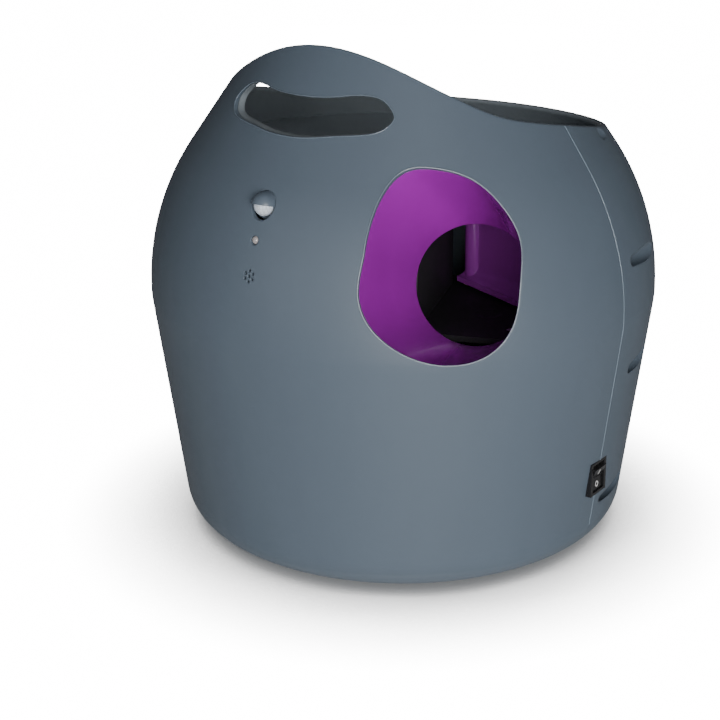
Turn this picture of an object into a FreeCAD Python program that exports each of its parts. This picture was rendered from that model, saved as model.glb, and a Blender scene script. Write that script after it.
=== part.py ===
import FreeCAD, Part
import math
import os

# Automatic ball launcher for dogs. Millimetres, +Z up, front (sensor, handle) at -Y, right at +X.
# The origin is on the floor, under the centre of the round body.
# The launch unit is drawn along its own axes, then turned about Z: local -Y is the launch direction.

V = FreeCAD.Vector
os.makedirs("parts", exist_ok=True)

# ---------------------------------------------------------------- driving dimensions
# Body, a surface of revolution about Z
EQUATOR_R = 168.0          # largest radius of the body
EQUATOR_Z = 164.6          # height of the largest radius
BULGE_R = 67.2             # arc radius just under the equator
DOME_R = 163.7             # arc radius above the equator
CONE_ANGLE = 7.3           # half angle of the lower cone, degrees
BASE_FILLET_R = 25.2       # rounding from the cone to the underside
LEAN_ANGLE = 35.0          # lean of the straight upper wall from vertical, degrees
FLOOR_GAP = 1.5            # underside of the shell above the floor
SHELL_WALL = 2.6
SEAM_Y = -6.5              # plane where front and rear shells meet
SEAM_GAP = 0.24
UNDERSIDE_OPENING_R = 118.0
FIT_GAP = 0.3              # general gap between nested mouldings
RUNNING_GAP = 0.05         # radial clearance of a shaft in its bore

# Rim of the bucket, seen from the side: (y, z) points of one smooth curve, set from the front and rear walls
RIM_CURVE = [(68 - EQUATOR_R, 352), (80.5 - EQUATOR_R, 331), (91 - EQUATOR_R, 314), (101 - EQUATOR_R, 303),
             (115 - EQUATOR_R, 293), (133 - EQUATOR_R, 287.3), (0, 280.5), (EQUATOR_R - 108, 269.5),
             (EQUATOR_R - 63, 263.8), (EQUATOR_R - 18, 260.3), (EQUATOR_R + 17, 259.4)]
PROFILE_TOP = RIM_CURVE[1][1] + 15.0   # height to which the wall is drawn before the rim is cut
REACH = EQUATOR_R + 32.0   # how far cutting tools run from the body's axis
RIM_ROUND = 1.4            # rounding of the shells' edge
BOWL_RIM_ROUND = 1.8       # rounding of the bucket's inner edge

# Hand slot under the handle, seen from the front: right half as (x, z), mirrored to the left
SLOT_HALF = [(0, 280.8), (16, 281.5), (32, 283.4), (48, 285.0), (56.2, 288.2), (58.9, 293), (55.5, 298.5),
             (49, 303.3), (41, 305.3), (22, 303.8), (0, 302.8)]
SLOT_LIP = 2.4             # collar of the bucket around the slot

# Launch opening, seen from the front: (x, z) points of one closed smooth curve
OPENING = [(67.3, 225), (67.2, 254), (74, 267.6), (87, 268.4), (104.3, 262.3), (121, 248), (133.4, 229.3),
           (138.7, 205), (138.4, 179), (131, 164.8), (114, 160.2), (95.5, 166.6), (79, 180), (69, 198.5)]

# Launch unit, local axes
LAUNCH_TURN = 20.0         # launch direction to the right of straight ahead, degrees
BALL_R = 33.5
LANE_X = 63.3              # the ball's path, local x
MOUTH_Y = -68.8
MOUTH_Z = 183.0
MOUTH_R = 38.0
MOUTH_TILT = 15.0          # the mouth's top leans back, degrees
FUNNEL_WALL = 2.2
FUNNEL_NORMAL = (0.58, -0.644, 0.5)    # rough outward normal of the launch opening
FUNNEL_REACH = 255.0       # distance of the funnel's outer end along that normal
BULKHEAD_X = (24.0, 104.0)
BULKHEAD_Z = (150.0, 222.0)
DECK_TOP = 150.0
DECK_T = 4.0
DECK_X = (22.0, 132.0)
DECK_Y = (-72.0, 62.0)
DECK_CORNER_R = 8.0
DECK_EDGE_GAP = 6.0        # between the body surface and the deck
BALL_DISH_DEPTH = 1.2
WALL_TOP = 222.6
WALL_T = 2.2
WALL_LEFT_X = 26.0
WALL_LEFT_END = 38.0
WALL_RIGHT_X = 103.0
WALL_RIGHT_END = -30.0

# Bucket that holds the balls
BOWL_OFFSET = 5.4          # inner face of the bucket behind the body surface
BOWL_LEAN = 38.0           # lean of the bucket's upper wall, degrees
BOWL_WALL = 2.4
BOWL_FLOOR_Z = 238.0       # floor height at the feed hole
BOWL_FLOOR_SLOPE = 0.07    # rise per length away from the feed hole
FLANGE_DEPTH = 3.0
FLANGE_OFFSET = 2.9        # the flange stops just inside the shell
FEED_Y = -24.0             # feed hole, local
FEED_R = 37.0
NECK_Z = 223.0

# Kicker, a blade on an upright shaft, local axes
PIVOT = (40.9, 41.6)
BLADE_ANGLE = -43.5        # direction of the blade from the pivot at rest, degrees
BLADE_LENGTH = 89.0
BLADE_HEEL = 6.0
BLADE_T = 4.0
BLADE_Z = (152.0, 218.0)
LIP_DEPTH = 9.0
LIP_T = 3.5
HUB_R = 7.0
KICK_SHAFT_R = 5.0
LEVER_Z = 118.0
LEVER_T = 8.0
LEVER_WIDTH = 8.0
LEVER_LENGTH = 44.0        # pivot to the centre of the rounded end
PIN_REACH = 40.0           # pivot to the spring pin
PIN_R = 2.0
BUMPER_T = 4.8

# Spring and distance adjuster
SPRING_Z = 132.0
SPRING_R = 4.5
SPRING_WIRE = 1.4
SPRING_END_Y = 114.0
DIAL_Z = 132.0
DIAL_R = 21.0
DIAL_T = 3.8
DIAL_GRIP = 6.0
DIAL_CUP_R = 23.5
DIAL_CUP_Y = 157.0         # outer face of the cup's floor
SCREW_R = 4.0
ANCHOR_Y = 119.0
ANCHOR_T = 12.0
BRACKET_Y = (98.0, 149.0)
BRACKET_X = 9.0
BRACKET_FLOOR_Z = 108.0
PLATE_T = 3.0

# Gear train, upright axes
DRIVE_XY = (-50.0, 32.0)
IDLER_BEARING = -70.0      # direction from the drive gear to the idler, degrees
MOTOR_BEARING = -35.0      # direction from the idler to the motor, degrees
DRIVE_TEETH = 42
SMALL_TEETH = 14
IDLER_TEETH = 36
PINION_TEETH = 12
SLOW_MODULE = 2.0
FAST_MODULE = 1.5
PRESSURE_ANGLE = 20.0
BACKLASH = 0.3
ADDENDUM = 0.85            # tooth height over the pitch circle, in modules
DRIVE_Z = 100.0
DRIVE_T = 8.0
IDLER_Z = 88.0
IDLER_T = 6.0
AXLE_R = 4.0
CRANK_R = 32.0
CRANK_PIN_R = 2.4
ROLLER_R = 5.0
ROLLER_GAP = 0.6           # the roller stands this far below the lever
MOTOR_R = 18.0
MOTOR_Z = 98.0
MOTOR_LENGTH = 46.0
MOTOR_SHAFT_R = 1.6

# Frame inside the shells
FRAME_Z = 80.0
FRAME_X = 104.0
FRAME_Y = 72.0
LEG_PLACE = (92.0, 55.0)
LEG_R = 6.0
POST_PLACES = [(48.0, -46.0), (10.0, 66.0), (96.0, 66.0), (96.0, -20.0)]
POST_R = 4.0

# Base and batteries, six D cells
BASE_PLATE_T = 2.5
BASE_PLATE_R = 123.0
FOOT_R = 9.0
FOOT_PLACE = (72.0, 80.0)
DOOR_X = 56.0
DOOR_Y = 68.0
DOOR_GAP = 0.5
DOOR_HEEL_GAP = 1.8
HINGE_R = 2.2
HINGE_PIN_R = 1.2
CELL_R = 16.5
CELL_LENGTH = 60.0
CELL_PITCH = 35.0
TRAY_WALL = 2.0
TRAY_TOP_Z = 46.0
TRAY_X = 55.0
TRAY_Y = 67.0

# Power switch on the right side, on the seam
SWITCH_Y = -8.0
SWITCH_Z = 58.2
SWITCH_W = 20.0
SWITCH_H = 22.5
SWITCH_FACE_X = 156.2
SWITCH_BACK_X = 130.0
SWITCH_NECK_X = 146.0      # where the switch's flange ends
SWITCH_CUT_X = SWITCH_BACK_X + 10
ROCKER_W = 14.4
ROCKER_HALF_H = 8.0
ROCKER_TILT = 10.0
ROCKER_PIVOT_X = 151.0

# Front: motion sensor, lamp, speaker
SENSOR_Z = 244.2
SENSOR_R = 8.0
SENSOR_LENS_R = 6.4
SENSOR_LENS_GAP = 0.2
SENSOR_LENS_SINK = 1.0     # the dome's centre behind the wall's face
SENSOR_SEAT = 3.0          # sleeve and lens end this far before the sensor's board
SHADE_RISE = 15.0          # rise of the shade's lower edge to the front, degrees
LAMP_Z = 225.1
LAMP_R = 2.5
SPEAKER_Z = 205.0
GRILLE_PITCH = 3.1
GRILLE_HOLE_R = 1.0
SPEAKER_R = 14.0
COLLAR_DEPTH = 16.9        # of the speaker's collar behind the wall's face
SENSOR_STACK = 11.7        # from the wall's face to the sensor's board
SENSOR_BOARD_T = 1.6
SENSOR_BOARD_HALF = 13.0
SENSOR_BOARD_Z = (LAMP_Z - 8.1, SENSOR_Z + 5.8)
NICHE_Z = (SPEAKER_Z - 5.0, SENSOR_Z + 9.8)

# Screws that clamp the shells, driven from the rear: (height, start of the scoop)
SHELL_SCREWS = [(198.0, 10.0), (127.0, 16.0), (38.0, 4.0)]
RIM_SCOOP = (271.0, 36.0)
RIM_SCOOP_OUT = 2.9        # its axis stands this far outside the body surface
SCOOP_R = 5.0
SCREW_INSET = 4.4          # axis behind the body surface
SCREW_HEAD_R = 3.2
SCREW_SHANK_R = 1.4

# Power inlet at the rear
JACK_X = 0.0
JACK_Z = 45.0
JACK_R = 5.6
JACK_BORE_R = 3.2

# Main board
BOARD_X = (36.0, 90.0)
BOARD_Y = (-4.0, 56.0)
BOARD_Z = 92.0
BOARD_T = 1.6


# ---------------------------------------------------------------- small helpers
def box(x0, x1, y0, y1, z0, z1):
    return Part.makeBox(x1 - x0, y1 - y0, z1 - z0, V(x0, y0, z0))


def rod_x(radius, x0, x1, y, z):
    return Part.makeCylinder(radius, x1 - x0, V(x0, y, z), V(1, 0, 0))


def rod_y(radius, y0, y1, x, z):
    return Part.makeCylinder(radius, y1 - y0, V(x, y0, z), V(0, 1, 0))


def rod_z(radius, z0, z1, x, y):
    return Part.makeCylinder(radius, z1 - z0, V(x, y, z0), V(0, 0, 1))


def prism(points, direction):
    wire = Part.makePolygon(points + [points[0]])
    return Part.Face(wire).extrude(direction)


def plate_z(points, z, thickness):
    """Flat plate with a polygon outline given as (x, y)."""
    return prism([V(x, y, z) for x, y in points], V(0, 0, thickness))


def spline_wire(points):
    curve = Part.BSplineCurve()
    curve.interpolate(points, PeriodicFlag=True)
    return Part.Wire([curve.toShape()])


def join(shapes):
    merged = shapes[0]
    for shape in shapes[1:]:
        merged = merged.fuse(shape)
    return merged.removeSplitter()


def largest(shape):
    """The biggest solid of a shape."""
    return max(shape.Solids, key=lambda solid: solid.Volume)


def export(name, shape):
    shape.exportStep("parts/" + name + ".step")


def place(x, y):
    """A point of the launch unit, from its own axes to the body's."""
    turn = math.radians(LAUNCH_TURN)
    return x * math.cos(turn) - y * math.sin(turn), x * math.sin(turn) + y * math.cos(turn)


def turned(shape):
    """A shape of the launch unit, from its own axes to the body's."""
    copy = shape.copy()
    copy.rotate(V(0, 0, 0), V(0, 0, 1), LAUNCH_TURN)
    return copy


# ---------------------------------------------------------------- body surface
def body_solid(offset=0.0, lean_angle=LEAN_ANGLE):
    """Solid of revolution whose side lies `offset` inside the body surface."""
    gamma = math.radians(CONE_ANGLE)
    lean = math.radians(lean_angle)
    low_r = BULGE_R - offset
    dome_r = DOME_R - offset
    fillet_r = BASE_FILLET_R - offset
    bulge_x = EQUATOR_R - BULGE_R
    dome_x = EQUATOR_R - DOME_R
    fillet_z = FLOOR_GAP + BASE_FILLET_R
    cone_x = bulge_x + BULGE_R * math.cos(gamma)
    cone_z = EQUATOR_Z - BULGE_R * math.sin(gamma)
    fillet_x = cone_x - (BASE_FILLET_R + math.sin(gamma) * (cone_z - fillet_z)) / math.cos(gamma)
    bottom = FLOOR_GAP + offset

    def on_arc(x, z, radius, angle):
        return V(x + radius * math.cos(angle), 0, z + radius * math.sin(angle))

    def arc(x, z, radius, start, end):
        middle = (start + end) / 2
        return Part.Arc(*[on_arc(x, z, radius, a) for a in (start, middle, end)]).toShape()

    dome_end = on_arc(dome_x, EQUATOR_Z, dome_r, lean)
    lean_top = V(dome_end.x - (PROFILE_TOP - dome_end.z) * math.tan(lean), 0, PROFILE_TOP)
    edges = [
        Part.makeLine(V(0, 0, bottom), V(fillet_x, 0, bottom)),
        arc(fillet_x, fillet_z, fillet_r, -math.pi / 2, -gamma),
        Part.makeLine(on_arc(fillet_x, fillet_z, fillet_r, -gamma),
                      on_arc(bulge_x, EQUATOR_Z, low_r, -gamma)),
        arc(bulge_x, EQUATOR_Z, low_r, -gamma, 0.0),
        arc(dome_x, EQUATOR_Z, dome_r, 0.0, lean),
        Part.makeLine(dome_end, lean_top),
        Part.makeLine(lean_top, V(0, 0, PROFILE_TOP)),
        Part.makeLine(V(0, 0, PROFILE_TOP), V(0, 0, bottom)),
    ]
    return Part.Face(Part.Wire(edges)).revolve(V(0, 0, 0), V(0, 0, 1), 360)


def body_radius(height, offset=0.0):
    """Radius of the body surface, `offset` inside it, above the base fillet."""
    gamma = math.radians(CONE_ANGLE)
    lean = math.radians(LEAN_ANGLE)
    rise = height - EQUATOR_Z
    if rise > DOME_R * math.sin(lean):
        top_r = EQUATOR_R - DOME_R + DOME_R * math.cos(lean)
        return top_r - (rise - DOME_R * math.sin(lean)) * math.tan(lean) - offset / math.cos(lean)
    if rise > 0:
        return EQUATOR_R - DOME_R + math.sqrt((DOME_R - offset) ** 2 - rise ** 2)
    if rise > -BULGE_R * math.sin(gamma):
        return EQUATOR_R - BULGE_R + math.sqrt((BULGE_R - offset) ** 2 - rise ** 2)
    cone_r = EQUATOR_R - BULGE_R + BULGE_R * math.cos(gamma)
    drop = -rise - BULGE_R * math.sin(gamma)
    return cone_r - drop * math.tan(gamma) - offset / math.cos(gamma)


def surface_y(x, height, offset=0.0):
    """Distance of the body surface along Y from the centre plane, at a given x and height."""
    return math.sqrt(body_radius(height, offset) ** 2 - x * x)


def rim_curve(x, shift=0.0):
    """Side view of the rim as a curve in the plane at `x`."""
    curve = Part.BSplineCurve()
    curve.interpolate([V(x, y, z - shift) for y, z in RIM_CURVE])
    return curve


def above_rim(shift=0.0):
    """Everything above the rim curve, lowered by `shift`."""
    side = EQUATOR_R + 30
    curve = rim_curve(-side, shift)
    first, last = curve.StartPoint, curve.EndPoint
    lid = PROFILE_TOP + 60
    edges = [
        curve.toShape(),
        Part.makeLine(last, V(-side, last.y, lid)),
        Part.makeLine(V(-side, last.y, lid), V(-side, first.y, lid)),
        Part.makeLine(V(-side, first.y, lid), first),
    ]
    return Part.Face(Part.Wire(edges)).extrude(V(2 * side, 0, 0))


def round_rim(shape, radius, inside):
    """Round the rim edge on the body surface, or the one on the bucket's inner wall."""
    curve = rim_curve(0).toShape()
    chosen = []
    for edge in shape.Edges:
        span = edge.LastParameter - edge.FirstParameter
        points = [edge.valueAt(edge.FirstParameter + span * k / 4) for k in range(5)]
        depth = [body_radius(point.z) - math.hypot(point.x, point.y) for point in points]
        away = [curve.distToShape(Part.Vertex(0, point.y, point.z))[0] for point in points]
        deep_enough = min(depth) > BOWL_OFFSET - 0.5 if inside else max(depth) < 0.05
        if edge.Length > 4 and max(away) < 0.05 and deep_enough:
            chosen.append(edge)
    return shape.makeFillet(radius, chosen)


def slot_prism(grow=0.0):
    """Hand slot as a solid along Y, its outline moved outward by `grow`."""
    outline = SLOT_HALF + [(-x, z) for x, z in reversed(SLOT_HALF[1:-1])]
    points = []
    for k, (x, z) in enumerate(outline):
        before = outline[k - 1]
        after = outline[(k + 1) % len(outline)]
        outward = V(after[1] - before[1], 0, before[0] - after[0]).normalize()
        points.append(V(x, -EQUATOR_R - 30, z) + outward * grow)
    return Part.Face(spline_wire(points)).extrude(V(0, EQUATOR_R, 0))


# ---------------------------------------------------------------- launch funnel
def mouth_axes():
    """Centre, sideways, upward and outward directions of the mouth."""
    turn = math.radians(LAUNCH_TURN)
    tilt = math.radians(MOUTH_TILT)
    ahead = V(math.sin(turn), -math.cos(turn), 0)
    side = V(math.cos(turn), math.sin(turn), 0)
    up = V(0, 0, math.cos(tilt)) - ahead * math.sin(tilt)
    outward = V(0, 0, math.sin(tilt)) + ahead * math.cos(tilt)
    x, y = place(LANE_X, MOUTH_Y)
    return V(x, y, MOUTH_Z), side, up, outward


def funnel_loft(grow=0.0, behind=0.0):
    """Solid from `behind` the mouth to a flat outer end, through the launch opening.

    Its side is moved out by `grow`.
    """
    centre, side, up, outward = mouth_axes()
    normal = V(*FUNNEL_NORMAL).normalize()
    mid_x = sum(x for x, z in OPENING) / len(OPENING)
    mid_z = sum(z for x, z in OPENING) / len(OPENING)
    inner = []
    outer = []
    for x, z in OPENING:
        edge = V(x, -surface_y(x, z), z)
        angle = math.atan2(z - mid_z, x - mid_x)
        spoke = side * math.cos(angle) + up * math.sin(angle)
        start = centre + spoke * MOUTH_R
        run = edge - start
        end = start + run * ((FUNNEL_REACH - start.dot(normal)) / run.dot(normal))
        swell = side * math.cos(angle) + V(0, 0, 1) * math.sin(angle)
        swell = swell - normal * swell.dot(normal)
        inner.append(start + spoke * grow - run * (behind / run.dot(outward)))
        outer.append(end + swell.normalize() * grow)
    return Part.makeLoft([spline_wire(inner), spline_wire(outer)], True, True)


def bulkhead(grow=0.0):
    """Flat plate behind the funnel, with its rear face in the mouth's plane."""
    centre, side, up, outward = mouth_axes()
    cosine = math.cos(math.radians(MOUTH_TILT))
    corners = []
    for x, z in ((0, 0), (1, 0), (1, 1), (0, 1)):
        across = BULKHEAD_X[x] - LANE_X + (2 * x - 1) * grow
        height = (BULKHEAD_Z[z] - MOUTH_Z) / cosine + (2 * z - 1) * grow
        corners.append(centre + side * across + up * height - outward * grow)
    return prism(corners, outward * (FUNNEL_WALL + 2 * grow))


def make_funnel(room):
    flare = funnel_loft(FUNNEL_WALL).fuse(bulkhead()).common(room)
    flare = flare.cut(funnel_loft(behind=1.0))
    return largest(flare.removeSplitter())


# ---------------------------------------------------------------- shells
def scoop(side, x, z, start):
    """Round-ended trough along Y for a screw of the rear shell."""
    slant = SCOOP_R * math.sqrt(0.5)
    nose = Part.Arc(V(0, -SCOOP_R, 0), V(slant, -slant, 0), V(SCOOP_R, 0, 0)).toShape()
    far = EQUATOR_R - start
    corners = [V(SCOOP_R, 0, 0), V(SCOOP_R, far, 0), V(0, far, 0), V(0, -SCOOP_R, 0)]
    edges = [nose] + [Part.makeLine(corners[k], corners[k + 1]) for k in range(3)]
    trough = Part.Face(Part.Wire(edges)).revolve(V(0, 0, 0), V(0, 1, 0), 360)
    trough.translate(V(side * x, start, z))
    return trough


def shell_screw_places():
    """(side, x, z, seat) of every screw that clamps the two shells."""
    places = []
    for side in (-1, 1):
        for height, start in SHELL_SCREWS:
            places.append((side, body_radius(height) - SCREW_INSET, height, start - SCOOP_R))
    return places


def make_shells(outer, inner):
    boss_r = SCOOP_R + 2.0
    cup = rod_y(DIAL_CUP_R + SHELL_WALL, DIAL_CUP_Y - SHELL_WALL, EQUATOR_R + 9, 0, DIAL_Z).common(outer)
    collar = rod_y(SPEAKER_R + 2.2, -REACH, collar_end_y(), 0, SPEAKER_Z).common(outer)
    collar = collar.cut(rod_y(SPEAKER_R + 0.2, -REACH, collar_end_y() + 6, 0, SPEAKER_Z))
    bosses = []
    for side, x, z, seat in shell_screw_places():
        bosses.append(rod_y(boss_r, SEAM_Y - 15, EQUATOR_R, side * x, z).common(outer))
    walls = round_rim(outer.cut(inner).cut(above_rim()), RIM_ROUND, False)
    grille = rod_y(SPEAKER_R + 1, -REACH, collar_end_y() - 4, 0, SPEAKER_Z).common(walls)
    whole = join([walls, cup, collar, grille] + bosses)
    whole = whole.cut(slot_prism()).cut(funnel_loft())
    whole = whole.cut(rod_z(UNDERSIDE_OPENING_R, -5, FLOOR_GAP + SHELL_WALL + 1, 0, 0))
    whole = whole.cut(rod_y(DIAL_CUP_R, DIAL_CUP_Y, EQUATOR_R + 10, 0, DIAL_Z))
    whole = whole.cut(rod_y(SCREW_R + FIT_GAP, DIAL_CUP_Y - SHELL_WALL - 1, REACH, 0, DIAL_Z))
    gap = FIT_GAP / 2
    half_w, half_h = SWITCH_W / 2 + gap, SWITCH_H / 2 + gap
    whole = whole.cut(box(SWITCH_CUT_X, REACH, SWITCH_Y - half_w, SWITCH_Y + half_w,
                          SWITCH_Z - half_h, SWITCH_Z + half_h))
    whole = whole.cut(rod_y(JACK_R, 0, REACH, JACK_X, JACK_Z))
    whole = whole.cut(rod_y(SENSOR_R + gap, -REACH, 0, 0, SENSOR_Z))
    whole = whole.cut(rod_y(LAMP_R + gap, -REACH, 0, 0, LAMP_Z))
    spots = [(0, 0)]
    for k in range(6):
        angle = math.radians(30 + 60 * k)
        spots.append((GRILLE_PITCH * math.cos(angle), GRILLE_PITCH * math.sin(angle)))
    for dx, dz in spots:
        whole = whole.cut(rod_y(GRILLE_HOLE_R, -REACH, 0, dx, SPEAKER_Z + dz))
    for side, x, z, seat in shell_screw_places():
        whole = whole.cut(scoop(side, x, z, seat + SCOOP_R))
        whole = whole.cut(rod_y(SCREW_HEAD_R + 0.2, seat - 1.0, seat + SCOOP_R, side * x, z))
        whole = whole.cut(rod_y(SCREW_SHANK_R, SEAM_Y - 12, seat, side * x, z))
    height, start = RIM_SCOOP
    shallow = math.sqrt(body_radius(height) ** 2 - start ** 2) + RIM_SCOOP_OUT
    for side in (-1, 1):
        whole = whole.cut(scoop(side, shallow, height, start))
    top = PROFILE_TOP + 50
    front = whole.cut(box(-REACH, REACH, SEAM_Y - SEAM_GAP / 2, REACH, -10, top))
    rear = whole.cut(box(-REACH, REACH, -REACH, SEAM_Y + SEAM_GAP / 2, -10, top))
    return front, rear


def make_shell_screws():
    screws = []
    for side, x, z, seat in shell_screw_places():
        head = rod_y(SCREW_HEAD_R, seat - 1.0, seat + 1.2, side * x, z)
        slots = [box(side * x - 1.8, side * x + 1.8, seat + 0.2, seat + 2, z - 0.4, z + 0.4),
                 box(side * x - 0.4, side * x + 0.4, seat + 0.2, seat + 2, z - 1.8, z + 1.8)]
        shank = rod_y(SCREW_SHANK_R, SEAM_Y - 11, seat, side * x, z)
        screws.append(join([head.cut(slots[0]).cut(slots[1]), shank]))
    return Part.makeCompound(screws)


# ---------------------------------------------------------------- bucket
def above_bowl_floor(drop=0.0):
    """Space over the bucket's dished floor, lowered by `drop`."""
    x, y = place(LANE_X, FEED_Y)
    reach = 2 * EQUATOR_R
    low = BOWL_FLOOR_Z - FEED_R * BOWL_FLOOR_SLOPE - drop
    outline = [V(0, 0, low), V(reach, 0, low + reach * BOWL_FLOOR_SLOPE), V(reach, 0, PROFILE_TOP + 9),
               V(0, 0, PROFILE_TOP + 9)]
    space = Part.Face(Part.makePolygon(outline + [outline[0]])).revolve(V(0, 0, 0), V(0, 0, 1), 360)
    space.translate(V(x, y, 0))
    return space


def sensor_board_y():
    return SENSOR_STACK - surface_y(0, SENSOR_Z)


def collar_end_y():
    return COLLAR_DEPTH - surface_y(0, SPEAKER_Z)


def sensor_niche(grow=0.0):
    """Room for the sensor behind the front wall, left free by the bucket."""
    half = SENSOR_BOARD_HALF + 2.6
    back = sensor_board_y() + SENSOR_BOARD_T + 2.8
    return box(-half - grow, half + grow, -EQUATOR_R, back + grow, NICHE_Z[0], NICHE_Z[1] + grow)


def make_bowl():
    inside = body_solid(BOWL_OFFSET, BOWL_LEAN)
    skin = body_solid(BOWL_OFFSET - BOWL_WALL, BOWL_LEAN).common(above_bowl_floor(BOWL_WALL))
    hollow = inside.common(above_bowl_floor())
    hollow = hollow.cut(funnel_loft(FUNNEL_WALL + FIT_GAP + 0.5 + BOWL_WALL)).cut(sensor_niche(BOWL_WALL))
    nest = body_solid(FLANGE_OFFSET)
    band = nest.common(above_rim(FLANGE_DEPTH))
    collar = nest.common(slot_prism(SLOT_LIP))
    bucket = skin.fuse(band).fuse(collar).cut(hollow).cut(above_rim()).cut(slot_prism())
    bucket = bucket.cut(funnel_loft(FUNNEL_WALL + FIT_GAP + 0.5)).cut(sensor_niche())
    x, y = place(LANE_X, FEED_Y)
    bucket = bucket.cut(rod_z(FEED_R, NECK_Z, BOWL_FLOOR_Z + FEED_R, x, y))
    return round_rim(largest(bucket.removeSplitter()), BOWL_RIM_ROUND, True)


def make_feed_neck():
    x, y = place(LANE_X, FEED_Y)
    neck = rod_z(FEED_R + FUNNEL_WALL, NECK_Z, BOWL_FLOOR_Z - BOWL_WALL, x, y)
    neck = neck.cut(rod_z(FEED_R, NECK_Z - 1, BOWL_FLOOR_Z, x, y))
    return largest(neck.cut(funnel_loft(FUNNEL_WALL + 0.5)))


# ---------------------------------------------------------------- launch chamber
def make_launch_deck():
    low = DECK_TOP - DECK_T
    plate = box(DECK_X[0], DECK_X[1], DECK_Y[0], DECK_Y[1], low, DECK_TOP)
    upright = [edge for edge in plate.Edges if abs(edge.tangentAt(edge.FirstParameter).z) > 0.9]
    plate = turned(plate.makeFillet(DECK_CORNER_R, upright)).common(body_solid(DECK_EDGE_GAP))
    plate = plate.cut(funnel_loft(FUNNEL_WALL + FIT_GAP))
    x, y = place(LANE_X, FEED_Y)
    plate = plate.cut(Part.makeSphere(BALL_R, V(x, y, DECK_TOP - BALL_DISH_DEPTH + BALL_R)))
    plate = plate.cut(rod_z(KICK_SHAFT_R + 3, low - 1, DECK_TOP + 1, *place(*PIVOT)))
    for x, y in POST_PLACES:
        plate = plate.cut(rod_z(3.4, DECK_TOP - 1.8, DECK_TOP + 1, x, y))
        plate = plate.cut(rod_z(1.5, low - 1, DECK_TOP + 1, x, y))
    return plate


def make_chamber_walls():
    walls = []
    slope = math.tan(math.radians(MOUTH_TILT))
    for x0, end in ((WALL_LEFT_X - WALL_T, WALL_LEFT_END), (WALL_RIGHT_X, WALL_RIGHT_END)):
        outline = []
        for z in (DECK_TOP, WALL_TOP):
            outline.append(V(x0, MOUTH_Y + (z - MOUTH_Z) * slope + FIT_GAP, z))
        outline += [V(x0, end, WALL_TOP), V(x0, end, DECK_TOP)]
        wall = prism(outline, V(WALL_T, 0, 0))
        foot_side = x0 - 5 if x0 < LANE_X else x0
        foot = box(foot_side, foot_side + 5 + WALL_T, end - 28, end, DECK_TOP, DECK_TOP + 2)
        walls.append(turned(join([wall, foot])))
    return Part.makeCompound(walls)


# ---------------------------------------------------------------- kicker
def make_kicker_paddle():
    """Blade with a curled lip, drawn along +X from the shaft, then turned to its rest direction."""
    back = -BLADE_T / 2
    face = BLADE_T / 2
    tip = face + LIP_DEPTH
    z0, z1 = BLADE_Z
    lip_top = z0 + LIP_T
    curl = LIP_DEPTH
    bend = V(-BLADE_HEEL, tip - curl * math.sin(math.pi / 4), lip_top + curl - curl * math.cos(math.pi / 4))
    corners = [V(-BLADE_HEEL, back, z0), V(-BLADE_HEEL, tip, z0), V(-BLADE_HEEL, tip, lip_top),
               V(-BLADE_HEEL, face, lip_top + curl), V(-BLADE_HEEL, face, z1), V(-BLADE_HEEL, back, z1)]
    edges = [Part.makeLine(corners[0], corners[1]), Part.makeLine(corners[1], corners[2]),
             Part.Arc(corners[2], bend, corners[3]).toShape(), Part.makeLine(corners[3], corners[4]),
             Part.makeLine(corners[4], corners[5]), Part.makeLine(corners[5], corners[0])]
    blade = Part.Face(Part.Wire(edges)).extrude(V(BLADE_HEEL + BLADE_LENGTH, 0, 0))
    blade = blade.mirror(V(0, 0, 0), V(0, 1, 0))
    hub = rod_z(HUB_R, z0, z1, 0, 0)
    ribs = []
    for k in range(4):
        z = z0 + (k + 0.5) * (z1 - z0) / 4
        rib = [V(0, face - 1, z), V(BLADE_LENGTH - 8, face - 1, z), V(BLADE_LENGTH - 30, face + 4, z),
               V(0, face + 4, z)]
        ribs.append(prism(rib, V(0, 0, 2)))
    paddle = join([blade, hub] + ribs).cut(rod_z(KICK_SHAFT_R, z0 - 1, z1 + 1, 0, 0))
    paddle.rotate(V(0, 0, 0), V(0, 0, 1), BLADE_ANGLE)
    paddle.translate(V(PIVOT[0], PIVOT[1], 0))
    return turned(paddle)


def make_kicker_shaft():
    x, y = place(*PIVOT)
    shaft = rod_z(KICK_SHAFT_R, FRAME_Z - 5, BLADE_Z[1] - 1, x, y)
    ring = rod_z(KICK_SHAFT_R + 3, FRAME_Z - 3, FRAME_Z - FIT_GAP, x, y)
    return join([shaft, ring])


def make_kicker_bushings():
    x, y = place(*PIVOT)
    sleeves = []
    for low, high, flange in ((FRAME_Z, FRAME_Z + PLATE_T, FRAME_Z + PLATE_T),
                              (DECK_TOP - DECK_T, DECK_TOP, DECK_TOP - DECK_T - 3)):
        sleeve = join([rod_z(KICK_SHAFT_R + 3, low, high, x, y),
                       rod_z(KICK_SHAFT_R + 6, flange, flange + 3, x, y)])
        sleeves.append(sleeve.cut(rod_z(KICK_SHAFT_R + RUNNING_GAP, low - 5, high + 5, x, y)))
    return Part.makeCompound(sleeves)


def make_kicker_lever():
    x, y = place(*PIVOT)
    top = LEVER_Z + LEVER_T
    hub = rod_z(KICK_SHAFT_R + 4, LEVER_Z - 2, top + 2, x, y)
    bar = box(x - LEVER_LENGTH, x, y - LEVER_WIDTH / 2, y + LEVER_WIDTH / 2, LEVER_Z, top)
    tip = rod_z(LEVER_WIDTH / 2, LEVER_Z, top, x - LEVER_LENGTH, y)
    lever = join([hub, bar, tip]).cut(rod_z(KICK_SHAFT_R, LEVER_Z - 3, top + 3, x, y))
    return lever.cut(rod_z(PIN_R, LEVER_Z - 1, top + 1, x - PIN_REACH, y))


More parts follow.
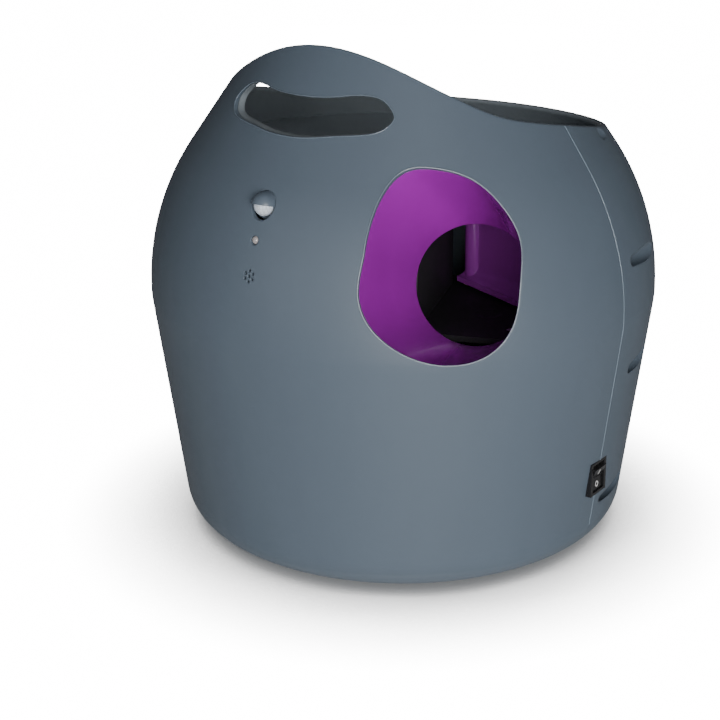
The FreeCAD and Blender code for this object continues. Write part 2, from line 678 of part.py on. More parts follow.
def make_lever_pin():
    x, y = place(*PIVOT)
    pin = rod_z(PIN_R, LEVER_Z, SPRING_Z + 5, x - PIN_REACH, y)
    return join([pin, rod_z(PIN_R + 1.2, SPRING_Z + 3.4, SPRING_Z + 5, x - PIN_REACH, y)])


def make_stop_bumper():
    """Rubber sleeve on a deck post that the lever rests against."""
    x, y = POST_PLACES[1]
    outer = y - place(*PIVOT)[1] - LEVER_WIDTH / 2 - 0.06
    ring = rod_z(outer, LEVER_Z - 1, LEVER_Z + LEVER_T + 1, x, y)
    return ring.cut(rod_z(POST_R, LEVER_Z - 2, LEVER_Z + LEVER_T + 2, x, y))


def make_spring():
    """Close-wound extension spring along Y, with an eye at each end."""
    pivot_x, pivot_y = place(*PIVOT)
    x = pivot_x - PIN_REACH
    eye_r = PIN_R + SPRING_WIRE / 2 + 0.15
    start, end = pivot_y + 9, SPRING_END_Y - 9
    turns = int((end - start) / SPRING_WIRE)
    pitch = (end - start) / turns
    rim = SPRING_R - SPRING_WIRE / 2
    edges = []
    for k in range(turns):
        y = start + k * pitch
        edges.append(Part.Arc(V(rim, y, 0), V(SPRING_R, y + pitch / 2, 0), V(rim, y + pitch, 0)).toShape())
    bore = SPRING_R - SPRING_WIRE
    corners = [V(rim, end, 0), V(bore, end, 0), V(bore, start, 0), V(rim, start, 0)]
    edges += [Part.makeLine(corners[k], corners[k + 1]) for k in range(3)]
    coil = Part.Face(Part.Wire(edges)).revolve(V(0, 0, 0), V(0, 1, 0), 360)
    coil.translate(V(x, 0, SPRING_Z))
    parts = [coil]
    for y, side, eye_y in ((start, -1, pivot_y), (end, 1, SPRING_END_Y)):
        y0, y1 = sorted((y, y - side * SPRING_WIRE))
        parts.append(rod_y(rim, y0, y1, x, SPRING_Z))
        y0, y1 = sorted((y, eye_y - side * eye_r))
        parts.append(rod_y(SPRING_WIRE / 2, y0 - 0.3, y1 + 0.3, x, SPRING_Z))
        parts.append(Part.makeTorus(eye_r, SPRING_WIRE / 2, V(x, eye_y, SPRING_Z), V(0, 0, 1)))
    return join(parts)


# ---------------------------------------------------------------- distance adjuster
def make_dial_bracket():
    y0, y1 = BRACKET_Y
    top = DIAL_Z + 9
    foot = FRAME_Z + PLATE_T
    shelf = box(-14, 14, y0, y1, BRACKET_FLOOR_Z, BRACKET_FLOOR_Z + PLATE_T)
    plates = [box(-BRACKET_X, BRACKET_X, y, y + PLATE_T, foot, top) for y in (y0, y1 - PLATE_T)]
    bracket = join([shelf] + plates)
    return bracket.cut(rod_y(SCREW_R + RUNNING_GAP, y0 - 1, y1 + 1, 0, DIAL_Z))


def make_spring_anchor():
    x = place(*PIVOT)[0] - PIN_REACH
    low = BRACKET_FLOOR_Z + PLATE_T + FIT_GAP
    block = box(-8, 8, ANCHOR_Y, ANCHOR_Y + ANCHOR_T, low, DIAL_Z + 8)
    wing = box(x - 3.5, 0, ANCHOR_Y, ANCHOR_Y + ANCHOR_T, DIAL_Z - 8, DIAL_Z + 8)
    tab = box(x - 3.5, x + 3.5, SPRING_END_Y - 4, ANCHOR_Y + 1, SPRING_Z - 8, SPRING_Z - 5)
    pin = rod_z(PIN_R, SPRING_Z - 6, SPRING_Z + 5, x, SPRING_END_Y)
    head = rod_z(PIN_R + 1.2, SPRING_Z + 3.4, SPRING_Z + 5, x, SPRING_END_Y)
    anchor = join([block, wing, tab, pin, head])
    return anchor.cut(rod_y(SCREW_R + RUNNING_GAP, ANCHOR_Y - 1, ANCHOR_Y + ANCHOR_T + 1, 0, DIAL_Z))


def make_adjust_screw():
    y0, y1 = BRACKET_Y
    shank = rod_y(SCREW_R, y0 - 3, DIAL_CUP_Y + DIAL_T, 0, DIAL_Z)
    collars = [rod_y(SCREW_R + 3, y0 + PLATE_T + FIT_GAP, y0 + PLATE_T + FIT_GAP + 2, 0, DIAL_Z),
               rod_y(SCREW_R + 3, y1 + FIT_GAP, y1 + FIT_GAP + 2.4, 0, DIAL_Z)]
    screw = join([shank] + collars)
    count = int((y1 - y0 - 16) / 3)
    for k in range(count):
        y = y0 + 8 + k * 3
        ring = rod_y(SCREW_R + 1, y, y + 1.2, 0, DIAL_Z).cut(rod_y(SCREW_R - 0.6, y - 1, y + 2, 0, DIAL_Z))
        screw = screw.cut(ring)
    return screw


def make_dial():
    face = DIAL_CUP_Y + 0.4
    disc = rod_y(DIAL_R, face, face + DIAL_T, 0, DIAL_Z)
    grip = box(-DIAL_R + 2.5, DIAL_R - 2.5, face, face + DIAL_GRIP, DIAL_Z - 3.5, DIAL_Z + 3.5)
    dial = join([disc, grip])
    for k in range(24):
        angle = math.radians(15 * k + 7.5)
        dial = dial.cut(rod_y(1.1, face - 1, face + DIAL_T + 1, DIAL_R * math.cos(angle),
                              DIAL_Z + DIAL_R * math.sin(angle)))
    return dial.cut(rod_y(SCREW_R, face - 1, DIAL_CUP_Y + DIAL_T, 0, DIAL_Z))


# ---------------------------------------------------------------- gears
def gear(teeth, module, z, thickness, xy, phase):
    """Spur gear on an upright axis, with a tooth centred on the direction `phase` in degrees."""
    pitch_r = teeth * module / 2
    base_r = pitch_r * math.cos(math.radians(PRESSURE_ANGLE))
    tip_r = pitch_r + ADDENDUM * module
    root_r = pitch_r - 1.25 * module
    start_r = max(base_r, root_r)

    def half_angle(radius):
        pressure = math.acos(min(1.0, base_r / radius))
        slant = math.radians(PRESSURE_ANGLE)
        half = (math.pi / 2 - BACKLASH / module) / teeth
        return half + (math.tan(slant) - slant) - (math.tan(pressure) - pressure)

    flank = [start_r + (tip_r - start_r) * k / 3 for k in range(4)]
    outline = []
    for tooth in range(teeth):
        middle = 2 * math.pi * tooth / teeth + math.radians(phase)
        rising = [(root_r, middle - half_angle(start_r))] + [(r, middle - half_angle(r)) for r in flank]
        falling = [(r, middle + half_angle(r)) for r in reversed(flank)]
        falling.append((root_r, middle + half_angle(start_r)))
        outline += rising + falling
    points = []
    for r, a in outline:
        point = V(xy[0] + r * math.cos(a), xy[1] + r * math.sin(a), z)
        if not points or (point - points[-1]).Length > 1e-4:
            points.append(point)
    return prism(points, V(0, 0, thickness))


def step(xy, bearing, distance):
    angle = math.radians(bearing)
    return xy[0] + distance * math.cos(angle), xy[1] + distance * math.sin(angle)


def idler_xy():
    return step(DRIVE_XY, IDLER_BEARING, (DRIVE_TEETH + SMALL_TEETH) * SLOW_MODULE / 2)


def motor_xy():
    return step(idler_xy(), MOTOR_BEARING, (IDLER_TEETH + PINION_TEETH) * FAST_MODULE / 2)


def crank_xy():
    return DRIVE_XY[0] - CRANK_R, DRIVE_XY[1]


def make_drive_gear():
    x, y = DRIVE_XY
    wheel = gear(DRIVE_TEETH, SLOW_MODULE, DRIVE_Z, DRIVE_T, DRIVE_XY, IDLER_BEARING)
    hub = rod_z(AXLE_R + 5, FRAME_Z + PLATE_T + FIT_GAP, DRIVE_Z + DRIVE_T + 2, x, y)
    wheel = join([wheel, hub]).cut(rod_z(AXLE_R + RUNNING_GAP, FRAME_Z, DRIVE_Z + DRIVE_T + 3, x, y))
    for k in range(6):
        hole = step(DRIVE_XY, 60 * k + 30, 21)
        wheel = wheel.cut(rod_z(6.5, DRIVE_Z - 1, DRIVE_Z + DRIVE_T + 1, *hole))
    return wheel.cut(rod_z(CRANK_PIN_R, DRIVE_Z - 1, DRIVE_Z + DRIVE_T + 1, *crank_xy()))


def make_crank_pin():
    top = LEVER_Z - ROLLER_GAP
    pin = rod_z(CRANK_PIN_R, DRIVE_Z, top, *crank_xy())
    return join([pin, rod_z(CRANK_PIN_R + 1, top - 0.6, top, *crank_xy())])


def make_crank_roller():
    roller = rod_z(ROLLER_R, DRIVE_Z + DRIVE_T + FIT_GAP, LEVER_Z - ROLLER_GAP - 0.6 - FIT_GAP, *crank_xy())
    return roller.cut(rod_z(CRANK_PIN_R + RUNNING_GAP, DRIVE_Z, LEVER_Z, *crank_xy()))


def make_axle(xy, top):
    axle = rod_z(AXLE_R, FRAME_Z, top, *xy)
    return join([axle, rod_z(AXLE_R + 2, top, top + 1.4, *xy),
                 rod_z(AXLE_R + 2, FRAME_Z - 1.4, FRAME_Z, *xy)])


def make_idler():
    x, y = idler_xy()
    top = DRIVE_Z + DRIVE_T + 1
    big = gear(IDLER_TEETH, FAST_MODULE, IDLER_Z, IDLER_T, (x, y), MOTOR_BEARING)
    small = gear(SMALL_TEETH, SLOW_MODULE, DRIVE_Z - 2, top - DRIVE_Z + 2, (x, y),
                 IDLER_BEARING + 180 + 180.0 / SMALL_TEETH)
    hub = rod_z(AXLE_R + 5, FRAME_Z + PLATE_T + FIT_GAP, DRIVE_Z, x, y)
    return join([big, hub, small]).cut(rod_z(AXLE_R + RUNNING_GAP, FRAME_Z, top + 1, x, y))


def make_motor_pinion():
    phase = MOTOR_BEARING + 180 + 180.0 / PINION_TEETH
    pinion = gear(PINION_TEETH, FAST_MODULE, IDLER_Z - 1, IDLER_T + 2, motor_xy(), phase)
    return pinion.cut(rod_z(MOTOR_SHAFT_R, IDLER_Z - 2, IDLER_Z + IDLER_T + 3, *motor_xy()))


def make_motor():
    x, y = motor_xy()
    can = rod_z(MOTOR_R, MOTOR_Z, MOTOR_Z + MOTOR_LENGTH, x, y)
    cap = rod_z(MOTOR_R - 3, MOTOR_Z + MOTOR_LENGTH, MOTOR_Z + MOTOR_LENGTH + 2.5, x, y)
    tabs = [box(x + dx - 2.4, x + dx + 2.4, y - 0.4, y + 0.4,
                MOTOR_Z + MOTOR_LENGTH, MOTOR_Z + MOTOR_LENGTH + 7)
            for dx in (-9, 9)]
    motor = join([can, cap] + tabs)
    return motor.cut(rod_z(MOTOR_SHAFT_R + RUNNING_GAP, MOTOR_Z - 1, MOTOR_Z + 12, x, y))


def make_motor_shaft():
    return rod_z(MOTOR_SHAFT_R, IDLER_Z - 2, MOTOR_Z + 11, *motor_xy())


def motor_plate_places():
    x, y = motor_xy()
    return [(x + 21, y + 15), (x + 21, y - 17), (x - 18.5, y - 19)]


def make_motor_plate():
    x, y = motor_xy()
    outline = [(-23, -24), (26, -22), (26, 20), (9, 22), (-10, 17), (-23, -10)]
    plate = plate_z([(x + dx, y + dy) for dx, dy in outline], MOTOR_Z - PLATE_T, PLATE_T)
    plate = plate.cut(rod_z(5, MOTOR_Z - PLATE_T - 1, MOTOR_Z + 1, x, y))
    for spot in motor_plate_places():
        plate = plate.cut(rod_z(1.6, MOTOR_Z - PLATE_T - 1, MOTOR_Z + 1, *spot))
    return plate


def make_motor_spacers():
    return Part.makeCompound([rod_z(3.5, FRAME_Z + PLATE_T, MOTOR_Z - PLATE_T, *spot).cut(
        rod_z(1.5, FRAME_Z + PLATE_T, MOTOR_Z, *spot)) for spot in motor_plate_places()])


# ---------------------------------------------------------------- frame
def leg_places():
    return [(sx * LEG_PLACE[0], sy * LEG_PLACE[1]) for sx in (-1, 1) for sy in (-1, 1)]


def make_frame():
    low, top = FRAME_Z, FRAME_Z + PLATE_T
    y1 = BRACKET_Y[1]
    outline = [(-FRAME_X + 12, -FRAME_Y), (FRAME_X - 12, -FRAME_Y), (FRAME_X, -FRAME_Y + 12),
               (FRAME_X, FRAME_Y - 12), (FRAME_X - 12, FRAME_Y), (24, FRAME_Y), (16, FRAME_Y + 12), (16, y1),
               (-16, y1), (-16, FRAME_Y + 12), (-24, FRAME_Y),
               (-FRAME_X + 12, FRAME_Y), (-FRAME_X, FRAME_Y - 12),
               (-FRAME_X, -FRAME_Y + 12)]
    plate = plate_z(outline, low, PLATE_T)
    legs = [rod_z(LEG_R, base_z() + BASE_PLATE_T, low, x, y) for x, y in leg_places()]
    frame = join([plate] + legs)
    for x, y in leg_places():
        frame = frame.cut(rod_z(1.5, base_z(), 30, x, y))
    frame = frame.cut(rod_z(KICK_SHAFT_R + 3, low - 1, top + 1, *place(*PIVOT)))
    for xy in (DRIVE_XY, idler_xy()):
        frame = frame.cut(rod_z(AXLE_R, low - 1, top + 1, *xy))
    frame = frame.cut(rod_z(MOTOR_SHAFT_R + 3, low - 1, top + 1, *motor_xy()))
    for xy in motor_plate_places() + POST_PLACES:
        frame = frame.cut(rod_z(1.5, low - 1, top + 1, *xy))
    return frame


def make_deck_posts():
    return Part.makeCompound([rod_z(POST_R, FRAME_Z + PLATE_T, DECK_TOP - DECK_T, x, y).cut(
        rod_z(1.5, FRAME_Z, DECK_TOP, x, y)) for x, y in POST_PLACES])


def screw_z(x, y, z, length, head_r, head_t, down):
    """Pan-head screw whose head seats at z; it points down or up."""
    way = -1 if down else 1
    z0, z1 = sorted((z, z - way * head_t))
    head = rod_z(head_r, z0, z1, x, y)
    z2, z3 = sorted((z - way * head_t * 0.4, z - way * (head_t + 1)))
    for wide, deep in ((head_r * 0.6, 0.35), (0.35, head_r * 0.6)):
        head = head.cut(box(x - wide, x + wide, y - deep, y + deep, z2, z3))
    z0, z1 = sorted((z, z + way * length))
    return join([head, rod_z(SCREW_SHANK_R, z0, z1, x, y)])


def make_frame_screws():
    """Screws of the deck posts and of the motor plate, from above and from below."""
    screws = []
    for x, y in POST_PLACES:
        screws.append(screw_z(x, y, DECK_TOP - 1.8, 14, 3.0, 1.5, True))
        screws.append(screw_z(x, y, FRAME_Z, 14, 3.0, 1.6, False))
    for x, y in motor_plate_places():
        screws.append(screw_z(x, y, MOTOR_Z, 7, 2.8, 1.5, True))
        screws.append(screw_z(x, y, FRAME_Z, 7, 2.8, 1.5, False))
    return Part.makeCompound(screws)


# ---------------------------------------------------------------- base and batteries
def base_z():
    return FLOOR_GAP + SHELL_WALL


def hinge_yz():
    return DOOR_Y + HINGE_R + 1.4, base_z() + HINGE_R + 0.4


def make_base_plate():
    low = base_z()
    hinge_y, hinge_z = hinge_yz()
    plate = rod_z(BASE_PLATE_R, low, low + BASE_PLATE_T, 0, 0)
    heel = DOOR_Y + DOOR_HEEL_GAP
    plate = plate.cut(box(-DOOR_X, DOOR_X, -DOOR_Y, heel, low - 1, low + BASE_PLATE_T + 1))
    plate = plate.cut(box(-22, 22, DOOR_Y - 1, hinge_y + HINGE_R + 1.4, low - 1, low + BASE_PLATE_T + 1))
    for x, y in leg_places():
        plate = plate.cut(rod_z(1.7, low - 1, low + BASE_PLATE_T + 1, x, y))
    ears = []
    for side in (-1, 1):
        x0 = side * 17.5 - 4
        ear = join([rod_x(HINGE_R, x0, x0 + 8, hinge_y, hinge_z),
                    box(x0, x0 + 8, hinge_y, hinge_y + HINGE_R + 2, low, low + BASE_PLATE_T)])
        ears.append(ear.cut(rod_x(HINGE_PIN_R, x0 - 1, x0 + 9, hinge_y, hinge_z)))
    return join([plate] + ears)


def make_battery_door():
    low = base_z()
    hinge_y, hinge_z = hinge_yz()
    gap = DOOR_GAP
    plate = box(-DOOR_X + gap, DOOR_X - gap, -DOOR_Y + gap, DOOR_Y - gap, low, low + BASE_PLATE_T)
    knuckle = rod_x(HINGE_R, -12.8, 12.8, hinge_y, hinge_z)
    strap = box(-12.8, 12.8, DOOR_Y - 3, hinge_y, low, low + BASE_PLATE_T)
    pull = box(-14, 14, -DOOR_Y + 6, -DOOR_Y + 16, low - 1, low + 1.2)
    door = join([plate, strap, knuckle]).cut(pull)
    return door.cut(rod_x(HINGE_PIN_R + RUNNING_GAP, -13, 13, hinge_y, hinge_z))


def make_hinge_pin():
    return rod_x(HINGE_PIN_R, -21.5, 21.5, *hinge_yz())


def make_base_screws():
    return Part.makeCompound([screw_z(x, y, base_z(), 16, 3.2, 1.6, False) for x, y in leg_places()])


def make_feet():
    return Part.makeCompound([rod_z(FOOT_R, 0, base_z(), sx * FOOT_PLACE[0], sy * FOOT_PLACE[1])
                              for sx in (-1, 1) for sy in (-1, 1)])


def cell_z():
    return base_z() + BASE_PLATE_T + 1.5 + CELL_R


def make_battery_tray():
    low = base_z() + BASE_PLATE_T
    outer = box(-TRAY_X, TRAY_X, -TRAY_Y, TRAY_Y, low, TRAY_TOP_Z)
    inner = box(-TRAY_X + TRAY_WALL, TRAY_X - TRAY_WALL, -TRAY_Y + TRAY_WALL, TRAY_Y - TRAY_WALL,
                low - 1, TRAY_TOP_Z - TRAY_WALL)
    flanges = [box(min(side * TRAY_X, side * (TRAY_X + 8)), max(side * TRAY_X, side * (TRAY_X + 8)),
                   -30, 30, low, low + TRAY_WALL) for side in (-1, 1)]
    return join([outer] + flanges).cut(inner)


def make_cells():
    cells = []
    for column in (-1, 0, 1):
        for row in (-1, 1):
            flip = -1 if column == 0 else 1
            x = column * CELL_PITCH
            middle = row * (CELL_LENGTH / 2 + 1.2)
            body = rod_y(CELL_R, middle - CELL_LENGTH / 2 + 1.6, middle + CELL_LENGTH / 2 - 1.6, x, cell_z())
            nose_y = middle + flip * (CELL_LENGTH / 2 - 1.6)
            nose = rod_y(4.7, min(nose_y, nose_y + flip * 1.6), max(nose_y, nose_y + flip * 1.6), x, cell_z())
            cells.append(join([body, nose]))
    return Part.makeCompound(cells)


def make_contacts():
    contacts = []
    wall = TRAY_Y - TRAY_WALL
    for column in (-1, 0, 1):
        for side in (-1, 1):
            x = column * CELL_PITCH
            y0, y1 = sorted((side * wall, side * (wall - 0.8)))
            contacts.append(box(x - 8, x + 8, y0, y1, cell_z() - 9, cell_z() + 9))
    return Part.makeCompound(contacts)


# ---------------------------------------------------------------- switch and power inlet
def make_switch_housing():
    half_w, half_h = SWITCH_W / 2, SWITCH_H / 2
    y, z, x = SWITCH_Y, SWITCH_Z, ROCKER_PIVOT_X
    front = box(SWITCH_NECK_X, SWITCH_FACE_X, y - half_w, y + half_w, z - half_h, z + half_h)
    body = box(SWITCH_BACK_X, SWITCH_NECK_X, y - half_w + 1, y + half_w - 1, z - half_h + 1, z + half_h - 1)
    room = ROCKER_W / 2 + FIT_GAP
    pocket = box(x - 5.6, SWITCH_FACE_X + 1, y - room, y + room,
                 z - ROCKER_HALF_H - 1.4, z + ROCKER_HALF_H + 1.4)
    housing = join([front, body]).cut(pocket)
    return join([housing, rod_y(1.5, y - half_w + 1, y + half_w - 1, x, z)])


def make_switch_terminals():
    tabs = []
    for k in (-1, 0, 1):
        z = SWITCH_Z + 6 * k
        tabs.append(box(SWITCH_BACK_X - 8, SWITCH_BACK_X, SWITCH_Y - 2.4, SWITCH_Y + 2.4, z - 0.4, z + 0.4))
    return Part.makeCompound(tabs)


def make_rocker():
    x, z = ROCKER_PIVOT_X, SWITCH_Z
    half = ROCKER_HALF_H
    outline = [(x - 4.2, z - 3), (x + 1, z - half), (x + 5.6, z - half), (x + 3.8, z), (x + 5.6, z + half),
               (x + 1, z + half), (x - 4.2, z + 3)]
    rocker = prism([V(px, SWITCH_Y - ROCKER_W / 2, pz) for px, pz in outline], V(0, ROCKER_W, 0))
    rocker = rocker.cut(rod_y(1.5 + RUNNING_GAP, SWITCH_Y - 10, SWITCH_Y + 10, x, z))
    rocker.rotate(V(x, SWITCH_Y, z), V(0, 1, 0), ROCKER_TILT)
    return rocker


def make_jack():
    y = surface_y(JACK_X, JACK_Z)
    sleeve = rod_y(JACK_R - FIT_GAP / 2, y - 14, y - 0.8, JACK_X, JACK_Z)
    block = box(JACK_X - 7, JACK_X + 7, y - 24, y - 12, JACK_Z - 7, JACK_Z + 7)
    jack = join([sleeve, block]).cut(rod_y(JACK_BORE_R, y - 20, y, JACK_X, JACK_Z))
    return join([jack, rod_y(1.0, y - 21, y - 4, JACK_X, JACK_Z)])


# ---------------------------------------------------------------- boards, sensor, lamp, speaker
def make_main_board():
    board = box(BOARD_X[0], BOARD_X[1], BOARD_Y[0], BOARD_Y[1], BOARD_Z, BOARD_Z + BOARD_T)
    for x, y in board_post_places():
        board = board.cut(rod_z(1.0, BOARD_Z - 1, BOARD_Z + BOARD_T + 1, x, y))
    return board


def board_post_places():
    return [(x, y) for x in (BOARD_X[0] + 4, BOARD_X[1] - 4) for y in (BOARD_Y[0] + 4, BOARD_Y[1] - 4)]


def make_board_posts():
    posts = []
    for x, y in board_post_places():
        post = rod_z(3, FRAME_Z + PLATE_T, BOARD_Z, x, y)
        pin = rod_z(1.0, BOARD_Z, BOARD_Z + BOARD_T, x, y)
        posts.append(join([post, pin, rod_z(1.8, BOARD_Z + BOARD_T, BOARD_Z + BOARD_T + 1, x, y)]))
    return Part.makeCompound(posts)


def make_board_parts():
    """Relay, chip, capacitors and plug sockets on the main board."""
    z = BOARD_Z + BOARD_T
    x, y = BOARD_X[0], BOARD_Y[0]
    return Part.makeCompound([
        box(x + 10, x + 29, y + 34, y + 49, z, z + 15), box(x + 18, x + 30, y + 10, y + 22, z, z + 1.4),
        rod_z(5, z, z + 14, x + 40, y + 14), rod_z(4, z, z + 11, x + 40, y + 26),
        box(x + 34, x + 46, y + 48, y + 54, z, z + 7), box(x + 46, x + 52, y + 32, y + 44, z, z + 7)])


def make_sensor_board():
    return box(-SENSOR_BOARD_HALF, SENSOR_BOARD_HALF, sensor_board_y(), sensor_board_y() + SENSOR_BOARD_T,
               SENSOR_BOARD_Z[0], SENSOR_BOARD_Z[1])


def sensor_middle():
    """Centre of the sensor's domed lens."""
    return V(0, SENSOR_LENS_SINK - surface_y(0, SENSOR_Z), SENSOR_Z)


def make_sensor_hood():
    """Sleeve of the motion sensor with a half-round shade over its lens."""
    middle = sensor_middle()
    back = sensor_board_y() - SENSOR_SEAT
    shade = Part.makeSphere(SENSOR_R, middle)
    wide = 2 * SENSOR_R
    low, front = middle.z - wide, middle.y - wide
    rise = wide * math.tan(math.radians(SHADE_RISE))
    below = prism([V(-wide, front, middle.z + rise), V(-wide, middle.y, middle.z), V(-wide, middle.y, low),
                   V(-wide, front, low)], V(2 * wide, 0, 0))
    shade = shade.cut(below).cut(box(-wide, wide, middle.y, middle.y + wide, low, middle.z + wide))
    hood = join([shade, rod_y(SENSOR_R, middle.y, back, 0, SENSOR_Z)])
    room = SENSOR_LENS_R + SENSOR_LENS_GAP
    return hood.cut(Part.makeSphere(room, middle)).cut(rod_y(room, middle.y, back + 1, 0, SENSOR_Z))


def make_sensor_lens():
    middle = sensor_middle()
    wide = 2 * SENSOR_LENS_R
    dome = Part.makeSphere(SENSOR_LENS_R, middle)
    dome = dome.cut(box(-wide, wide, middle.y, middle.y + wide, SENSOR_Z - wide, SENSOR_Z + wide))
    return join([dome, rod_y(SENSOR_LENS_R, middle.y, sensor_board_y() - SENSOR_SEAT, 0, SENSOR_Z)])


def make_sensor_can():
    return rod_y(4.6, sensor_board_y() - 2.8, sensor_board_y(), 0, SENSOR_Z)


def make_lamp():
    face = -surface_y(0, LAMP_Z)
    dome = Part.makeSphere(LAMP_R, V(0, face + 1.6, LAMP_Z))
    return join([dome, rod_y(LAMP_R, face + 1.6, sensor_board_y(), 0, LAMP_Z)])


def make_speaker():
    front = collar_end_y() - 4.6
    back = rod_y(SPEAKER_R, front, front + 2.4, 0, SPEAKER_Z)
    magnet = rod_y(8, front + 2.4, front + 8.1, 0, SPEAKER_Z)
    cone = Part.makeCone(SPEAKER_R - 2, 4, 1.6, V(0, front - 0.1, SPEAKER_Z), V(0, 1, 0))
    return join([back, magnet]).cut(cone)


# ---------------------------------------------------------------- write every piece
def write_all():
    outer = body_solid()
    inner = body_solid(SHELL_WALL)
    room = body_solid(SHELL_WALL + FIT_GAP)
    front, rear = make_shells(outer, inner)
    export("front_shell", front)
    export("rear_shell", rear)
    export("shell_screws", make_shell_screws())
    export("hopper_bowl", make_bowl())
    export("feed_neck", make_feed_neck())
    export("launch_funnel", make_funnel(room))
    export("launch_deck", make_launch_deck())
    export("chamber_walls", make_chamber_walls())
    export("deck_posts", make_deck_posts())
    export("frame_screws", make_frame_screws())
    export("kicker_paddle", make_kicker_paddle())
    export("kicker_shaft", make_kicker_shaft())
    export("kicker_bushings", make_kicker_bushings())
    export("kicker_lever", make_kicker_lever())
    export("lever_pin", make_lever_pin())
    export("stop_bumper", make_stop_bumper())
    export("kicker_spring", make_spring())
    export("spring_anchor", make_spring_anchor())
    export("dial_bracket", make_dial_bracket())
    export("adjust_screw", make_adjust_screw())
    export("distance_dial", make_dial())
    export("drive_gear", make_drive_gear())
    export("drive_axle", make_axle(DRIVE_XY, DRIVE_Z + DRIVE_T + 2 + FIT_GAP))
    export("crank_pin", make_crank_pin())
    export("crank_roller", make_crank_roller())
    export("idler_gear", make_idler())
    export("idler_axle", make_axle(idler_xy(), DRIVE_Z + DRIVE_T + 1 + FIT_GAP))
    export("motor_pinion", make_motor_pinion())
    export("motor_shaft", make_motor_shaft())
    export("motor", make_motor())
    export("motor_plate", make_motor_plate())
    export("motor_spacers", make_motor_spacers())
    export("mech_frame", make_frame())
    export("base_plate", make_base_plate())
    export("base_screws", make_base_screws())
    export("rubber_feet", make_feet())
    export("battery_door", make_battery_door())
    export("door_hinge_pin", make_hinge_pin())
    export("battery_tray", make_battery_tray())
    export("battery_cells", make_cells())
    export("battery_contacts", make_contacts())
    export("switch_housing", make_switch_housing())
    export("switch_terminals", make_switch_terminals())
    export("switch_rocker", make_rocker())
    export("power_inlet", make_jack())
    export("main_board", make_main_board())
    export("board_posts", make_board_posts())
    export("board_parts", make_board_parts())
    export("sensor_board", make_sensor_board())
    export("sensor_hood", make_sensor_hood())
    export("sensor_lens", make_sensor_lens())
    export("sensor_can", make_sensor_can())
    export("status_lamp", make_lamp())
    export("speaker", make_speaker())


write_all()
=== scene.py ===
"""Automatic ball launcher for dogs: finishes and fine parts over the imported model."""

import logging
import math
from dataclasses import dataclass, field, replace
from enum import Enum
from typing import Any, Callable, Iterable, Sequence

import bmesh
import bpy
from mathutils import Matrix, Vector

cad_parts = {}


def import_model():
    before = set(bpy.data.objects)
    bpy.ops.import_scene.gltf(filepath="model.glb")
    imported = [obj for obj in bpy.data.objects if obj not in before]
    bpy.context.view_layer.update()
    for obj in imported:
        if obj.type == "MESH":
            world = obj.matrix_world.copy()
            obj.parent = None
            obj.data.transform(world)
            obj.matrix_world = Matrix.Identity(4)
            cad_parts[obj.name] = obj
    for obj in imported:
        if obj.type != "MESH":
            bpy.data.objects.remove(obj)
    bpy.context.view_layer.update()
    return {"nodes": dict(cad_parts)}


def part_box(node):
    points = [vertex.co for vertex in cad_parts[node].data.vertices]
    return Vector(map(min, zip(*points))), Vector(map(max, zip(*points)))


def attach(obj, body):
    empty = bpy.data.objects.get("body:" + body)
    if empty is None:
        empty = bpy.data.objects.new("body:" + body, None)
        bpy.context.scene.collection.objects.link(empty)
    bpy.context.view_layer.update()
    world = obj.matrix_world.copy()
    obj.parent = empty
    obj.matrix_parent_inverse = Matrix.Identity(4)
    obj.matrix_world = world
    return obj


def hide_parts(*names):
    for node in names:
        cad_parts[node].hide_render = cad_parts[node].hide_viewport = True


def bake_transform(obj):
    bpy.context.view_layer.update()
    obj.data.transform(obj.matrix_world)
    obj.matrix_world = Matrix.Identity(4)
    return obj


LOG = logging.getLogger("launcher")
Node, Socket, Tree, Mesh = bpy.types.Node, bpy.types.NodeSocket, bpy.types.NodeTree, bpy.types.Mesh
Colour = tuple[float, float, float]
MM = 0.001
FLOAT = "NodeSocketFloat"
WELD = 1e-6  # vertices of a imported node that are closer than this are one
POLE = 1e-9  # a smaller radius is a point on the axis
DUST_COLOUR: Colour = (0.55, 0.54, 0.52)
TRACK_COLOUR: Colour = (0.12, 0.42, 0.22)
SLEEVE_END_COLOUR: Colour = (0.42, 0.23, 0.10)
SLEEVE_EDGE = (0.0438, 0.0442)  # where the dark part of a cell's sleeve ends, from its middle
WHITE: Colour = (1.0, 1.0, 1.0)


